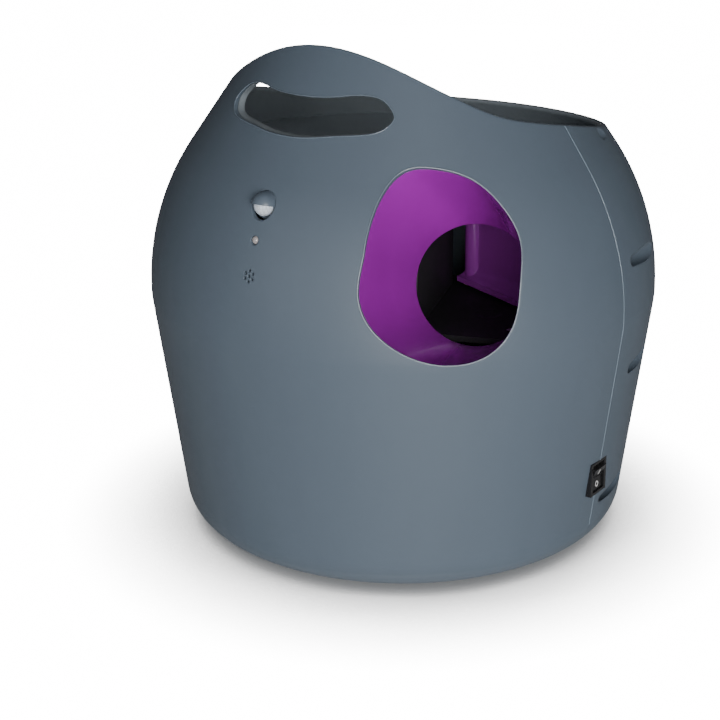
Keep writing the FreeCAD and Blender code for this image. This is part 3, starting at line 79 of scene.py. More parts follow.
# ---- node helpers
class Graph:
    """A node tree under construction, with short calls for its nodes and links."""

    def __init__(self, tree: Tree) -> None:
        """Start on an empty tree.

        Args:
            tree: the tree that gets the nodes.
        """
        self.tree = tree

    def add(self, kind: str, settings: dict[str, Any] | None = None, **inputs: Any) -> Node:
        """Add one node.

        Args:
            kind: the node's type name.
            settings: properties of the node itself.
            inputs: values or output sockets for its inputs, with _ for a space in the name.

        Returns:
            The new node.
        """
        node = self.tree.nodes.new(kind)
        for name, value in (settings or {}).items():
            setattr(node, name, value)
        self.set(node, **inputs)
        return node

    def set(self, node: Node, **inputs: Any) -> None:
        """Feed several inputs of a node.

        Args:
            node: the node.
            inputs: values or output sockets, with _ for a space in the name.
        """
        for name, value in inputs.items():
            self.feed(node.inputs[name.replace("_", " ")], value)

    def feed(self, socket: Socket, value: Any) -> None:
        """Give a socket a value or a link.

        Args:
            socket: the input socket.
            value: its value, or the output socket to link to it.
        """
        if isinstance(value, Socket):
            self.tree.links.new(value, socket)
        else:
            socket.default_value = value

    def position(self) -> Socket:
        """Position in the piece's own frame, for textures.

        Returns:
            The position's socket.
        """
        return self.add("ShaderNodeTexCoord").outputs["Object"]

    def maths(self, operation: str, first: Any, second: Any = 0.0, clamp: bool = False) -> Socket:
        """One Math node.

        Args:
            operation: the node's operation.
            first: first value or socket.
            second: second value or socket.
            clamp: whether the result stays between 0 and 1.

        Returns:
            The result socket.
        """
        node = self.add("ShaderNodeMath", {"operation": operation, "use_clamp": clamp})
        self.feed(node.inputs[0], first)
        self.feed(node.inputs[1], second)
        return node.outputs[0]

    def mix(self, factor: Any, first: Any, second: Any) -> Socket:
        """Mix two colours.

        Args:
            factor: share of the second colour.
            first: colour or socket.
            second: colour or socket.

        Returns:
            The mixed colour's socket.
        """
        node = self.add("ShaderNodeMix", {"data_type": "RGBA"})
        self.feed(node.inputs[0], factor)
        for socket, colour in ((node.inputs[6], first), (node.inputs[7], second)):
            self.feed(socket, colour if isinstance(colour, Socket) else (*colour, 1.0))
        return node.outputs[2]

    def span(self, value: Any, low: float, high: float, start: float = 0.0, end: float = 1.0) -> Socket:
        """Map a value from start..end to low..high, clamped.

        Args:
            value: the value's socket.
            low: result at start.
            high: result at end.
            start: start of the value's range.
            end: end of the value's range.

        Returns:
            The result socket.
        """
        return self.add("ShaderNodeMapRange", Value=value, From_Min=start, From_Max=end, To_Min=low,
                        To_Max=high).outputs["Result"]


class ShaderGroup(Enum):
    """Shader effects that more than one finish uses, each built once as a node group."""

    GRAIN = "Moulded grain"
    EDGES = "Softened edges"
    DUST = "Settled dust"
    TURNING = "Turning marks"

    def tree(self) -> Tree:
        """The group's node tree, built at its first use.

        Returns:
            The node tree.
        """
        found = bpy.data.node_groups.get(self.value)
        if found is not None:
            return found
        tree = bpy.data.node_groups.new(self.value, "ShaderNodeTree")
        builders = {ShaderGroup.GRAIN: _build_grain, ShaderGroup.EDGES: _build_edges,
                    ShaderGroup.DUST: _build_dust, ShaderGroup.TURNING: _build_turning}
        builders[self](tree)
        return tree

    def place(self, graph: Graph, **inputs: Any) -> Node:
        """Put the group into a material.

        Args:
            graph: the material's graph.
            inputs: values for the group's inputs.

        Returns:
            The group node.
        """
        return graph.add("ShaderNodeGroup", {"node_tree": self.tree()}, **inputs)


def _sockets(tree: Tree, inputs: dict[str, float], outputs: dict[str, str]) -> tuple[Node, Node]:
    """Give a group its named sockets.

    Args:
        tree: the group.
        inputs: input names with their defaults, all floats.
        outputs: output names with their socket types.

    Returns:
        The group's input node and output node.
    """
    for name, value in inputs.items():
        made = tree.interface.new_socket(name, in_out="INPUT", socket_type=FLOAT)
        made.default_value = value
    for name, kind in outputs.items():
        tree.interface.new_socket(name, in_out="OUTPUT", socket_type=kind)
    return tree.nodes.new("NodeGroupInput"), tree.nodes.new("NodeGroupOutput")


def _build_grain(tree: Tree) -> None:
    """Fine moulded texture: a height for the bump, a slow mottle and a flow streak."""
    start, end = _sockets(tree, {"Scale": 900.0, "Flow": 6.0},
                          {"Height": FLOAT, "Mottle": FLOAT, "Streak": FLOAT})
    scale, flow = start.outputs["Scale"], start.outputs["Flow"]
    graph = Graph(tree)
    place = graph.position()
    fine = graph.add("ShaderNodeTexNoise", Vector=place, Scale=scale, Detail=3.0, Roughness=0.6)
    cells = graph.add("ShaderNodeTexVoronoi", Vector=place, Scale=scale)
    pits = graph.maths("MULTIPLY", cells.outputs["Distance"], 0.4)
    height = graph.maths("ADD", fine.outputs["Fac"], pits)
    slow = graph.add("ShaderNodeTexNoise", Vector=place, Scale=flow, Detail=4.0, Roughness=0.55)
    upright = graph.add("ShaderNodeMapping", Vector=place, Scale=(7.0, 7.0, 1.2)).outputs[0]
    streak = graph.add("ShaderNodeTexNoise", Vector=upright, Scale=flow, Detail=2.0)
    graph.set(end, Height=height, Mottle=slow.outputs["Fac"], Streak=streak.outputs["Fac"])


def _build_edges(tree: Tree) -> None:
    """Rounded edge normals, and a mask of the edges that handling has rubbed."""
    start, end = _sockets(tree, {"Radius": 0.0006, "Amount": 1.0},
                          {"Normal": "NodeSocketVector", "Mask": FLOAT})
    graph = Graph(tree)
    round_off = graph.add("ShaderNodeBevel", {"samples": 4}, Radius=start.outputs["Radius"])
    flat = graph.add("ShaderNodeNewGeometry").outputs["Normal"]
    dot = graph.add("ShaderNodeVectorMath", {"operation": "DOT_PRODUCT"})
    graph.feed(dot.inputs[0], round_off.outputs["Normal"])
    graph.feed(dot.inputs[1], flat)
    edge = graph.span(dot.outputs["Value"], 1.0, 0.0, start=0.75, end=0.995)
    place = graph.position()
    patchy = graph.add("ShaderNodeTexNoise", Vector=place, Scale=220.0, Detail=5.0)
    broken = graph.span(patchy.outputs["Fac"], 0.0, 1.0, start=0.42, end=0.62)
    rubbed = graph.maths("MULTIPLY", edge, broken)
    mask = graph.maths("MULTIPLY", rubbed, start.outputs["Amount"], clamp=True)
    graph.set(end, Normal=round_off.outputs["Normal"], Mask=mask)


def _build_dust(tree: Tree) -> None:
    """Mask of the faint dust that settles on upward faces."""
    start, end = _sockets(tree, {"Amount": 0.2}, {"Mask": FLOAT})
    graph = Graph(tree)
    normal = graph.add("ShaderNodeNewGeometry").outputs["Normal"]
    split = graph.add("ShaderNodeSeparateXYZ", Vector=normal)
    up = graph.span(split.outputs["Z"], 0.0, 1.0, start=0.35, end=0.95)
    place = graph.position()
    specks = graph.add("ShaderNodeTexNoise", Vector=place, Scale=700.0, Detail=4.0, Roughness=0.7)
    cloud = graph.add("ShaderNodeTexNoise", Vector=place, Scale=30.0, Detail=3.0)
    fleck = graph.span(specks.outputs["Fac"], 0.0, 1.0, start=0.45, end=0.75)
    patch = graph.span(cloud.outputs["Fac"], 0.3, 1.0, start=0.35, end=0.65)
    settled = graph.maths("MULTIPLY", up, graph.maths("MULTIPLY", fleck, patch))
    mask = graph.maths("MULTIPLY", settled, start.outputs["Amount"], clamp=True)
    graph.set(end, Mask=mask)


def _build_turning(tree: Tree) -> None:
    """Drawn or turned metal: fine lines along Z and a slow tarnish."""
    start, end = _sockets(tree, {"Scale": 120.0}, {"Lines": FLOAT, "Tarnish": FLOAT})
    graph = Graph(tree)
    place = graph.position()
    drawn = graph.add("ShaderNodeMapping", Vector=place, Scale=(1.0, 1.0, 30.0)).outputs[0]
    lines = graph.add("ShaderNodeTexNoise", Vector=drawn, Scale=start.outputs["Scale"], Detail=4.0,
                      Roughness=0.7)
    tarnish = graph.add("ShaderNodeTexNoise", Vector=place, Scale=90.0, Detail=4.0)
    graph.set(end, Lines=lines.outputs["Fac"], Tarnish=tarnish.outputs["Fac"])


# ---- finishes
class Pattern(Enum):
    """What a finish adds over its plain colour."""

    NONE = "none"
    FACETS = "facets"
    TRACKS = "tracks"
    WRAP = "wrap"


@dataclass(frozen=True)
class Finish:
    """Common sizes of a finish; each kind of material turns them into its own nodes."""

    name: str
    slot: str
    colour: Colour
    shade: Colour
    roughness: float
    spread: float = 0.06
    grain_scale: float = 900.0
    grain_depth: float = 0.00002
    edge_radius: float = 0.0005
    edge_wear: float = 0.25
    worn: Colour = (0.5, 0.5, 0.5)
    dust: float = 0.12
    pattern: Pattern = Pattern.NONE

    def material(self) -> bpy.types.Material:
        """The finish as a material, built at its first use.

        Returns:
            The material.
        """
        found = bpy.data.materials.get(self.name)
        if found is not None:
            return found
        made = bpy.data.materials.new(self.name)
        made.use_nodes = True
        made.node_tree.nodes.clear()
        graph = Graph(made.node_tree)
        shader = graph.add("ShaderNodeBsdfPrincipled")
        graph.add("ShaderNodeOutputMaterial", Surface=shader.outputs[0])
        self.fill(graph, shader)
        return made

    def fill(self, graph: Graph, shader: Node) -> None:
        """Wire the shader of this finish; each kind has its own.

        Args:
            graph: the material's graph.
            shader: its Principled node.
        """
        raise NotImplementedError

    def surface(self, graph: Graph, shader: Node, colour: Socket, height: Socket, rough: Socket) -> None:
        """Add edge wear and dust, and feed the shader.

        Args:
            graph: the material's graph.
            shader: its Principled node.
            colour: base colour's socket.
            height: socket with the bump's height.
            rough: socket of a 0..1 value that spreads the roughness.
        """
        edges = ShaderGroup.EDGES.place(graph, Radius=self.edge_radius, Amount=self.edge_wear)
        dust = ShaderGroup.DUST.place(graph, Amount=self.dust)
        rubbed = graph.mix(edges.outputs["Mask"], colour, self.worn)
        dusty = graph.mix(dust.outputs["Mask"], rubbed, DUST_COLOUR)
        gloss = graph.span(rough, self.roughness - self.spread, self.roughness + self.spread,
                           start=0.3, end=0.7)
        dulled = graph.maths("MULTIPLY", dust.outputs["Mask"], 0.3)
        bump = graph.add("ShaderNodeBump", Height=height, Normal=edges.outputs["Normal"], Strength=1.0,
                         Distance=self.grain_depth)
        graph.set(shader, Base_Color=dusty, Roughness=graph.maths("ADD", gloss, dulled, clamp=True),
                  Normal=bump.outputs[0])


@dataclass(frozen=True)
class Plastic(Finish):
    """Injection-moulded plastic, from gloss to matt."""

    coat: float = 0.0
    coat_roughness: float = 0.15
    glow: float = 0.0
    glow_reach: tuple[float, float, float] = (0.004, 0.004, 0.003)

    def fill(self, graph: Graph, shader: Node) -> None:
        """Wire grain, flow streaks and the chosen pattern into the shader."""
        grain = ShaderGroup.GRAIN.place(graph, Scale=self.grain_scale, Flow=5.0)
        graph.set(shader, Coat_Weight=self.coat, Coat_Roughness=self.coat_roughness)
        if self.glow:
            graph.set(shader, Subsurface_Weight=self.glow, Subsurface_Radius=self.glow_reach,
                      Subsurface_Scale=1.0)
        height = grain.outputs["Height"]
        tone = graph.maths("ADD", graph.maths("MULTIPLY", grain.outputs["Mottle"], 0.6),
                           graph.maths("MULTIPLY", grain.outputs["Streak"], 0.4))
        colour = graph.mix(graph.span(tone, 0.0, 1.0, start=0.35, end=0.65), self.colour, self.shade)
        drawn = {Pattern.FACETS: self._facets, Pattern.TRACKS: self._tracks, Pattern.WRAP: self._wrap}
        if self.pattern in drawn:
            height, colour = drawn[self.pattern](graph, height, colour)
        self.surface(graph, shader, colour, height, tone)

    def _facets(self, graph: Graph, height: Socket, colour: Socket) -> tuple[Socket, Socket]:
        """Lens facets over the sensor's dome, with painted shade in the grooves between them."""
        place = graph.position()
        cells = graph.add("ShaderNodeTexVoronoi", {"feature": "DISTANCE_TO_EDGE"}, Vector=place,
                          Scale=520.0, Randomness=0.15)
        groove = graph.span(cells.outputs["Distance"], 0.0, 1.0, start=0.0, end=0.12)
        # the grooves take the darker shade colour: painted shade between the facets
        shaded = graph.mix(groove, self.shade, colour)
        return graph.maths("ADD", height, graph.maths("MULTIPLY", groove, 6.0)), shaded

    def _tracks(self, graph: Graph, height: Socket, colour: Socket) -> tuple[Socket, Socket]:
        """Copper tracks under a circuit board's lacquer."""
        place = graph.position()
        grid = graph.add("ShaderNodeTexBrick", Vector=place, Scale=90.0, Mortar_Size=0.06)
        track = grid.outputs["Fac"]
        tinted = graph.mix(graph.maths("MULTIPLY", track, 0.7), colour, TRACK_COLOUR)
        return graph.maths("ADD", height, graph.maths("MULTIPLY", track, 3.0)), tinted

    def _wrap(self, graph: Graph, height: Socket, colour: Socket) -> tuple[Socket, Socket]:
        """Two-tone sleeve of a battery cell, banded along its length."""
        place = graph.position()
        split = graph.add("ShaderNodeSeparateXYZ", Vector=place)
        along = graph.maths("ABSOLUTE", split.outputs["Y"])
        band = graph.span(along, 0.0, 1.0, *SLEEVE_EDGE)
        return height, graph.mix(band, colour, SLEEVE_END_COLOUR)


@dataclass(frozen=True)
class Metal(Finish):
    """Plated, drawn or turned metal."""

    line_scale: float = 120.0

    def fill(self, graph: Graph, shader: Node) -> None:
        """Wire the turning lines and tarnish into the shader."""
        graph.set(shader, Metallic=1.0)
        marks = ShaderGroup.TURNING.place(graph, Scale=self.line_scale)
        tarnish = graph.span(marks.outputs["Tarnish"], 0.0, 1.0, start=0.4, end=0.65)
        colour = graph.mix(tarnish, self.colour, self.shade)
        self.surface(graph, shader, colour, marks.outputs["Lines"], marks.outputs["Lines"])


SHELL = Plastic("Slate grey moulding", "shell_grey", (0.098, 0.128, 0.164), (0.090, 0.119, 0.153), 0.42,
                spread=0.05, grain_scale=1400.0, grain_depth=0.000008, edge_radius=0.0011, edge_wear=0.12,
                worn=(0.22, 0.27, 0.32), dust=0.02, coat=0.12, coat_roughness=0.28)
# Lighter than the shell's grey, raised to make up for the dim light inside the bowl: painted light.
BUCKET = Plastic("Bucket moulding lightened as painted light", "bucket_grey", (0.220, 0.252, 0.278), (0.194, 0.226, 0.250), 0.46,
                 grain_scale=1100.0, edge_radius=0.0012, edge_wear=0.15, worn=(0.14, 0.17, 0.20), dust=0.08)
PURPLE = Plastic("Gloss purple moulding", "funnel_purple", (0.390, 0.016, 0.455), (0.345, 0.013, 0.405),
                 0.18, spread=0.04, grain_scale=1600.0, grain_depth=0.000004, edge_radius=0.0007,
                 edge_wear=0.15, worn=(0.45, 0.16, 0.50), dust=0.02, coat=0.5, coat_roughness=0.08)
# Lighter purple than the funnel's, raised to brighten the paddle in the dim chamber: painted light; it is
# also rougher.
PADDLE_LIGHTENED = replace(PURPLE, name="Polished purple moulding lightened as painted light", colour=(0.370, 0.048, 0.450),
                 shade=(0.320, 0.040, 0.390), roughness=0.24, spread=0.02, grain_depth=0.000002, dust=0.0,
                 coat=0.35, coat_roughness=0.12)
BLACK = Plastic("Matt black moulding", "black_plastic", (0.016, 0.016, 0.018), (0.010, 0.010, 0.011), 0.42,
                grain_scale=1000.0, grain_depth=0.00003, edge_wear=0.2, worn=(0.07, 0.07, 0.075), dust=0.06)
# Near-black for the deck and the speaker; on the chamber walls it is painted shade inside the launch chamber.
DEEP_BLACK_AND_SHADE = replace(BLACK, name="Deep black moulding and painted shade", colour=(0.006, 0.007, 0.008),
                     shade=(0.004, 0.005, 0.005), roughness=0.68, edge_wear=0.05,
                     worn=(0.05, 0.05, 0.055), dust=0.0)
GLOSS_BLACK = Plastic("Gloss black moulding", "gloss_black", (0.012, 0.012, 0.013), (0.008, 0.008, 0.009),
                      0.22, grain_depth=0.000008, edge_wear=0.2, worn=(0.09, 0.09, 0.10), coat=0.3)
ACETAL = Plastic("White acetal", "white_plastic", (0.70, 0.69, 0.64), (0.62, 0.61, 0.56), 0.40, glow=0.08,
                 edge_wear=0.1, worn=(0.8, 0.8, 0.76), dust=0.05)
LENS = Plastic("Milky sensor lens", "lens_white", (0.74, 0.82, 0.90), (0.52, 0.57, 0.62), 0.30, glow=0.12,
               edge_radius=0.0002, edge_wear=0.0, dust=0.02, pattern=Pattern.FACETS)
LAMP = Plastic("Clear lamp pipe", "lamp_clear", (0.36, 0.33, 0.33), (0.28, 0.26, 0.26), 0.12, coat=0.6,
               grain_depth=0.000003, edge_radius=0.0002, edge_wear=0.0, dust=0.0)
BOARD = Plastic("Green circuit board", "board_green", (0.010, 0.10, 0.045), (0.008, 0.075, 0.034), 0.28,
                edge_radius=0.0002, edge_wear=0.0, dust=0.06, pattern=Pattern.TRACKS)
# Near-black board behind the sensor lens: the darkness seen through the gap under the lens is painted shade.
SHADE_DARKENED_BOARD = replace(BOARD, name="Circuit board darkened as painted shade", colour=(0.004, 0.016, 0.010),
                     shade=(0.003, 0.012, 0.008), roughness=0.45, dust=0.0, pattern=Pattern.NONE)
CELL = Plastic("Battery sleeve", "cell_wrap", (0.020, 0.022, 0.026), (0.016, 0.018, 0.021), 0.25,
               grain_depth=0.000006, edge_wear=0.1, pattern=Pattern.WRAP)
RUBBER = Plastic("Black rubber", "rubber", (0.022, 0.022, 0.022), (0.014, 0.014, 0.014), 0.78,
                 grain_scale=700.0, grain_depth=0.00006, edge_wear=0.15, worn=(0.08, 0.08, 0.08), dust=0.3)
MARK = Plastic("White printed mark", "white_plastic", (0.80, 0.80, 0.80), (0.74, 0.74, 0.74), 0.45,
               grain_depth=0.000004, edge_radius=0.00005, edge_wear=0.0, dust=0.0)
# Lighter than the shell: the opening bead's colour is a painted highlight line along the edge.
LIP_HIGHLIGHT = Plastic("Shell edge with painted highlight", "shell_grey", (0.165, 0.205, 0.245), (0.145, 0.180, 0.220), 0.16,
              spread=0.04, grain_depth=0.000002, edge_radius=0.0002, edge_wear=0.0, dust=0.0, coat=0.6)
# Lighter than the shell: the slot bead's colour is a painted highlight along the slot's edge.
SLOT_LIP_HIGHLIGHT = replace(LIP_HIGHLIGHT, name="Slot edge with painted highlight", colour=(0.125, 0.160, 0.198), shade=(0.112, 0.146, 0.182),
                   roughness=0.22, coat=0.5)
# Much lighter than the shell: the seam beads' colour is a painted highlight line along the seam.
SEAM_HIGHLIGHT = replace(LIP_HIGHLIGHT, name="Seam edge with painted highlight", colour=(0.260, 0.340, 0.420), shade=(0.230, 0.300, 0.370),
               roughness=0.18, edge_radius=0.0001)
ZINC = Metal("Zinc-plated steel", "steel", (0.56, 0.57, 0.58), (0.44, 0.44, 0.43), 0.34,
             edge_radius=0.0003, grain_depth=0.00001, worn=(0.7, 0.7, 0.7))
STEEL = Metal("Ground steel", "bright_steel", (0.66, 0.66, 0.67), (0.55, 0.55, 0.56), 0.24,
              edge_radius=0.0003, grain_depth=0.000006, worn=(0.8, 0.8, 0.8), line_scale=260.0)
CAN = Metal("Drawn steel can", "motor_steel", (0.55, 0.55, 0.55), (0.42, 0.42, 0.43), 0.32,
            edge_radius=0.0006, grain_depth=0.00001, worn=(0.7, 0.7, 0.7), line_scale=60.0)
BRASS = Metal("Turned brass", "brass", (0.66, 0.47, 0.20), (0.50, 0.34, 0.14), 0.28, edge_radius=0.0003,
              grain_depth=0.00001, worn=(0.85, 0.68, 0.36), line_scale=200.0)


# ---- mesh helpers
def linked(name: str, data: bpy.types.ID) -> bpy.types.Object:
    """Put a new object into the scene.

    Args:
        name: its name.
        data: its mesh, curve, light or camera.

    Returns:
        The object.
    """
    made = bpy.data.objects.new(name, data)
    bpy.context.scene.collection.objects.link(made)
    return made


def kept(form: bmesh.types.BMesh, name: str) -> Mesh:
    """Write a form into a new mesh.

    Args:
        form: the form, which is freed.
        name: the mesh's name.

    Returns:
        The mesh.
    """
    mesh = bpy.data.meshes.new(name)
    form.to_mesh(mesh)
    form.free()
    return mesh


def flattened(holder: bpy.types.Object) -> Mesh:
    """Turn an object into a plain mesh.

    Args:
        holder: an object with a curve, a text or a modifier, which is removed.

    Returns:
        The mesh.
    """
    mesh = bpy.data.meshes.new_from_object(holder.evaluated_get(bpy.context.evaluated_depsgraph_get()))
    bpy.data.objects.remove(holder)
    return mesh


@dataclass(frozen=True)
class Bend:
    """Course of a soft piece between one body at its start and another at its end."""

    first: str
    second: str
    start: Vector
    end: Vector


def finished(name: str, mesh: Mesh, finish: Finish, body: str | Bend,
             *stands_for: str) -> bpy.types.Object:
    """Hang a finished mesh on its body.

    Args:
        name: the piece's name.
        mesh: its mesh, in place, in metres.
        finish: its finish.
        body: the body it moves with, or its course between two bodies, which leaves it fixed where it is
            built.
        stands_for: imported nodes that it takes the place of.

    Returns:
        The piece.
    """
    piece = linked(name, mesh)
    if not mesh.materials:
        mesh.materials.append(finish.material())
    if isinstance(body, Bend):
        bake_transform(piece)
    else:
        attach(piece, body)
    if stands_for:
        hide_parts(*stands_for)
    LOG.info("%s: %d faces", name, len(mesh.polygons))
    return piece


def lathe(name: str, profile: Sequence[tuple[float, float]], centre: Vector, axis: Vector,
          steps: int = 64) -> Mesh:
    """Closed body of revolution.

    Args:
        name: the mesh's name.
        profile: (radius, distance along the axis) points from one pole to the other.
        centre: origin of the axis.
        axis: direction of the axis.
        steps: sides around.

    Returns:
        The mesh, with its faces outwards.
    """
    form = bmesh.new()
    turn = axis.to_track_quat("Z", "Y").to_matrix().to_4x4()
    angles = [2 * math.pi * k / steps for k in range(steps)]
    rings: list[list[bmesh.types.BMVert]] = []
    for radius, along in profile:
        around = angles[:1] if radius < POLE else angles
        rings.append([form.verts.new(centre + turn @ Vector((
            radius * math.cos(a), radius * math.sin(a), along))) for a in around])
    for low, high in zip(rings, rings[1:]):
        for k in range(steps):
            corners = (low[k % len(low)], low[(k + 1) % len(low)],
                       high[(k + 1) % len(high)], high[k % len(high)])
            unique = list(dict.fromkeys(corners))
            if len(unique) > 2:
                form.faces.new(unique)
    bmesh.ops.recalc_face_normals(form, faces=form.faces)
    for face in form.faces:
        face.smooth = True
    return kept(form, name)


def raised(name: str, outlines: Iterable[Sequence[Vector]], lift: Vector) -> Mesh:
    """Thin raised marks with flat tops.

    Args:
        name: the mesh's name.
        outlines: each mark's corners, in order.
        lift: thickness and direction of the marks.

    Returns:
        The mesh.
    """
    form = bmesh.new()
    for outline in outlines:
        low = [form.verts.new(point) for point in outline]
        high = [form.verts.new(point + lift) for point in outline]
        form.faces.new(low)
        form.faces.new(high)
        for k in range(len(low)):
            form.faces.new([low[k - 1], low[k], high[k], high[k - 1]])
    bmesh.ops.recalc_face_normals(form, faces=form.faces)
    return kept(form, name)


class Modelling:
    """A Geometry Nodes tree with named inputs, run once and kept as a plain mesh."""

    def __init__(self, name: str, sizes: dict[str, float], line: Mesh | None = None) -> None:
        """Start the tree.

        Args:
            name: the tree's name.
            sizes: its inputs, with the values used here.
            line: mesh that the tree starts from, if any.
        """
        self.line = line
        self.tree = bpy.data.node_groups.new(name, "GeometryNodeTree")
        self.sizes = sizes
        self.sockets: dict[str, str] = {}
        self.tree.interface.new_socket("Source", in_out="INPUT", socket_type="NodeSocketGeometry")
        for label in sizes:
            made = self.tree.interface.new_socket(label, in_out="INPUT", socket_type=FLOAT)
            self.sockets[label] = made.identifier
        self.tree.interface.new_socket("Geometry", in_out="OUTPUT", socket_type="NodeSocketGeometry")
        self.graph = Graph(self.tree)
        self.start = self.tree.nodes.new("NodeGroupInput")
        self.end = self.tree.nodes.new("NodeGroupOutput")

    def size(self, label: str) -> Socket:
        """The socket of one named input.

        Args:
            label: the input's name.

        Returns:
            Its socket.
        """
        return self.start.outputs[label]

    def spiral(self, start_radius: str, end_radius: str, resolution: int) -> Socket:
        """A spiral along Z with the tree's Turns and Length.

        Args:
            start_radius: name of the input with its radius at the start.
            end_radius: name of the input with its radius at the end.
            resolution: points a turn.

        Returns:
            The spiral's socket.
        """
        return self.graph.add("GeometryNodeCurveSpiral", Resolution=resolution, Rotations=self.size("Turns"),
                              Start_Radius=self.size(start_radius), End_Radius=self.size(end_radius),
                              Height=self.size("Length")).outputs[0]

    def tube(self, curve: Socket, radius: str, sides: int = 8) -> Socket:
        """A round tube along a curve, closed at its ends.

        Args:
            curve: the curve's socket.
            radius: name of the input with the tube's radius.
            sides: corners of its section.

        Returns:
            The tube's socket.
        """
        section = self.graph.add("GeometryNodeCurvePrimitiveCircle", Resolution=sides,
                                 Radius=self.size(radius))
        return self.graph.add("GeometryNodeCurveToMesh", Curve=curve, Profile_Curve=section.outputs[0],
                              Fill_Caps=True).outputs[0]

    def mesh(self, geometry: Socket, finish: Finish) -> Mesh:
        """Close the tree, run it and keep its result.

        Args:
            geometry: the socket with the finished shape.
            finish: the finish for all of it.

        Returns:
            The plain mesh.
        """
        real = self.graph.add("GeometryNodeRealizeInstances", Geometry=geometry)
        painted = self.graph.add("GeometryNodeSetMaterial", Geometry=real.outputs[0],
                                 Material=finish.material())
        self.graph.feed(self.end.inputs[0], painted.outputs[0])
        seed = linked("seed", self.line or bpy.data.meshes.new("seed"))
        modifier = seed.modifiers.new("shape", "NODES")
        modifier.node_group = self.tree
        for label, value in self.sizes.items():
            modifier[self.sockets[label]] = value
        bpy.context.view_layer.update()
        return flattened(seed)


@dataclass(frozen=True)
class BodyProfile:
    """Outline of the round body: a cone, a bulge, a dome and a straight lean above it, in millimetres."""

    equator_r: float = 168.0
    equator_z: float = 164.6
    bulge_r: float = 67.2
    dome_r: float = 163.7
    cone_angle: float = math.radians(7.3)
    lean_angle: float = math.radians(35.0)
    skin: float = 0.08  # how far off the outline a vertex may lie

    def radius(self, height: float) -> float:
        """Radius of the body at a height.

        Args:
            height: height in metres.

        Returns:
            The radius in metres.
        """
        rise = height / MM - self.equator_z
        bend, lean = ((self.dome_r, self.lean_angle) if rise > 0
                      else (self.bulge_r, self.cone_angle))
        beyond = abs(rise) - bend * math.sin(lean)
        middle = self.equator_r - bend
        if beyond > 0:
            return (middle + bend * math.cos(lean) - beyond * math.tan(lean)) * MM
        return (middle + math.sqrt(bend ** 2 - rise ** 2)) * MM

    def touches(self, point: Vector) -> bool:
        """Whether a point lies on the body's outside.

        Args:
            point: the point, in metres.

        Returns:
            True if it is on the outside.
        """
        return abs(math.hypot(point.x, point.y) - self.radius(point.z)) < self.skin * MM


@dataclass(frozen=True)
class Window:
    """Part of the front in which edges are looked for, in metres."""

    x: tuple[float, float]
    z: tuple[float, float]
    back_y: float

    def holds(self, first: Vector, second: Vector) -> bool:
        """Whether an edge lies in the window.

        Args:
            first: one end of the edge.
            second: its other end.

        Returns:
            True if it does.
        """
        return (self.x[0] < min(first.x, second.x) and max(first.x, second.x) < self.x[1]
                and self.z[0] < first.z < self.z[1] and first.y < self.back_y)


# ---- sub-assemblies
@dataclass
class Dressing:
    """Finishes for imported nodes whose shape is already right."""

    nodes: dict[str, bpy.types.Object]
    finishes: tuple[tuple[Finish, tuple[str, ...]], ...]

    def build(self) -> None:
        """Give each listed node its finish."""
        for finish, names in self.finishes:
            for name in names:
                slots = self.nodes[name].data.materials
                slots.clear()
                slots.append(finish.material())
                LOG.info("%s: %s", name, finish.name)


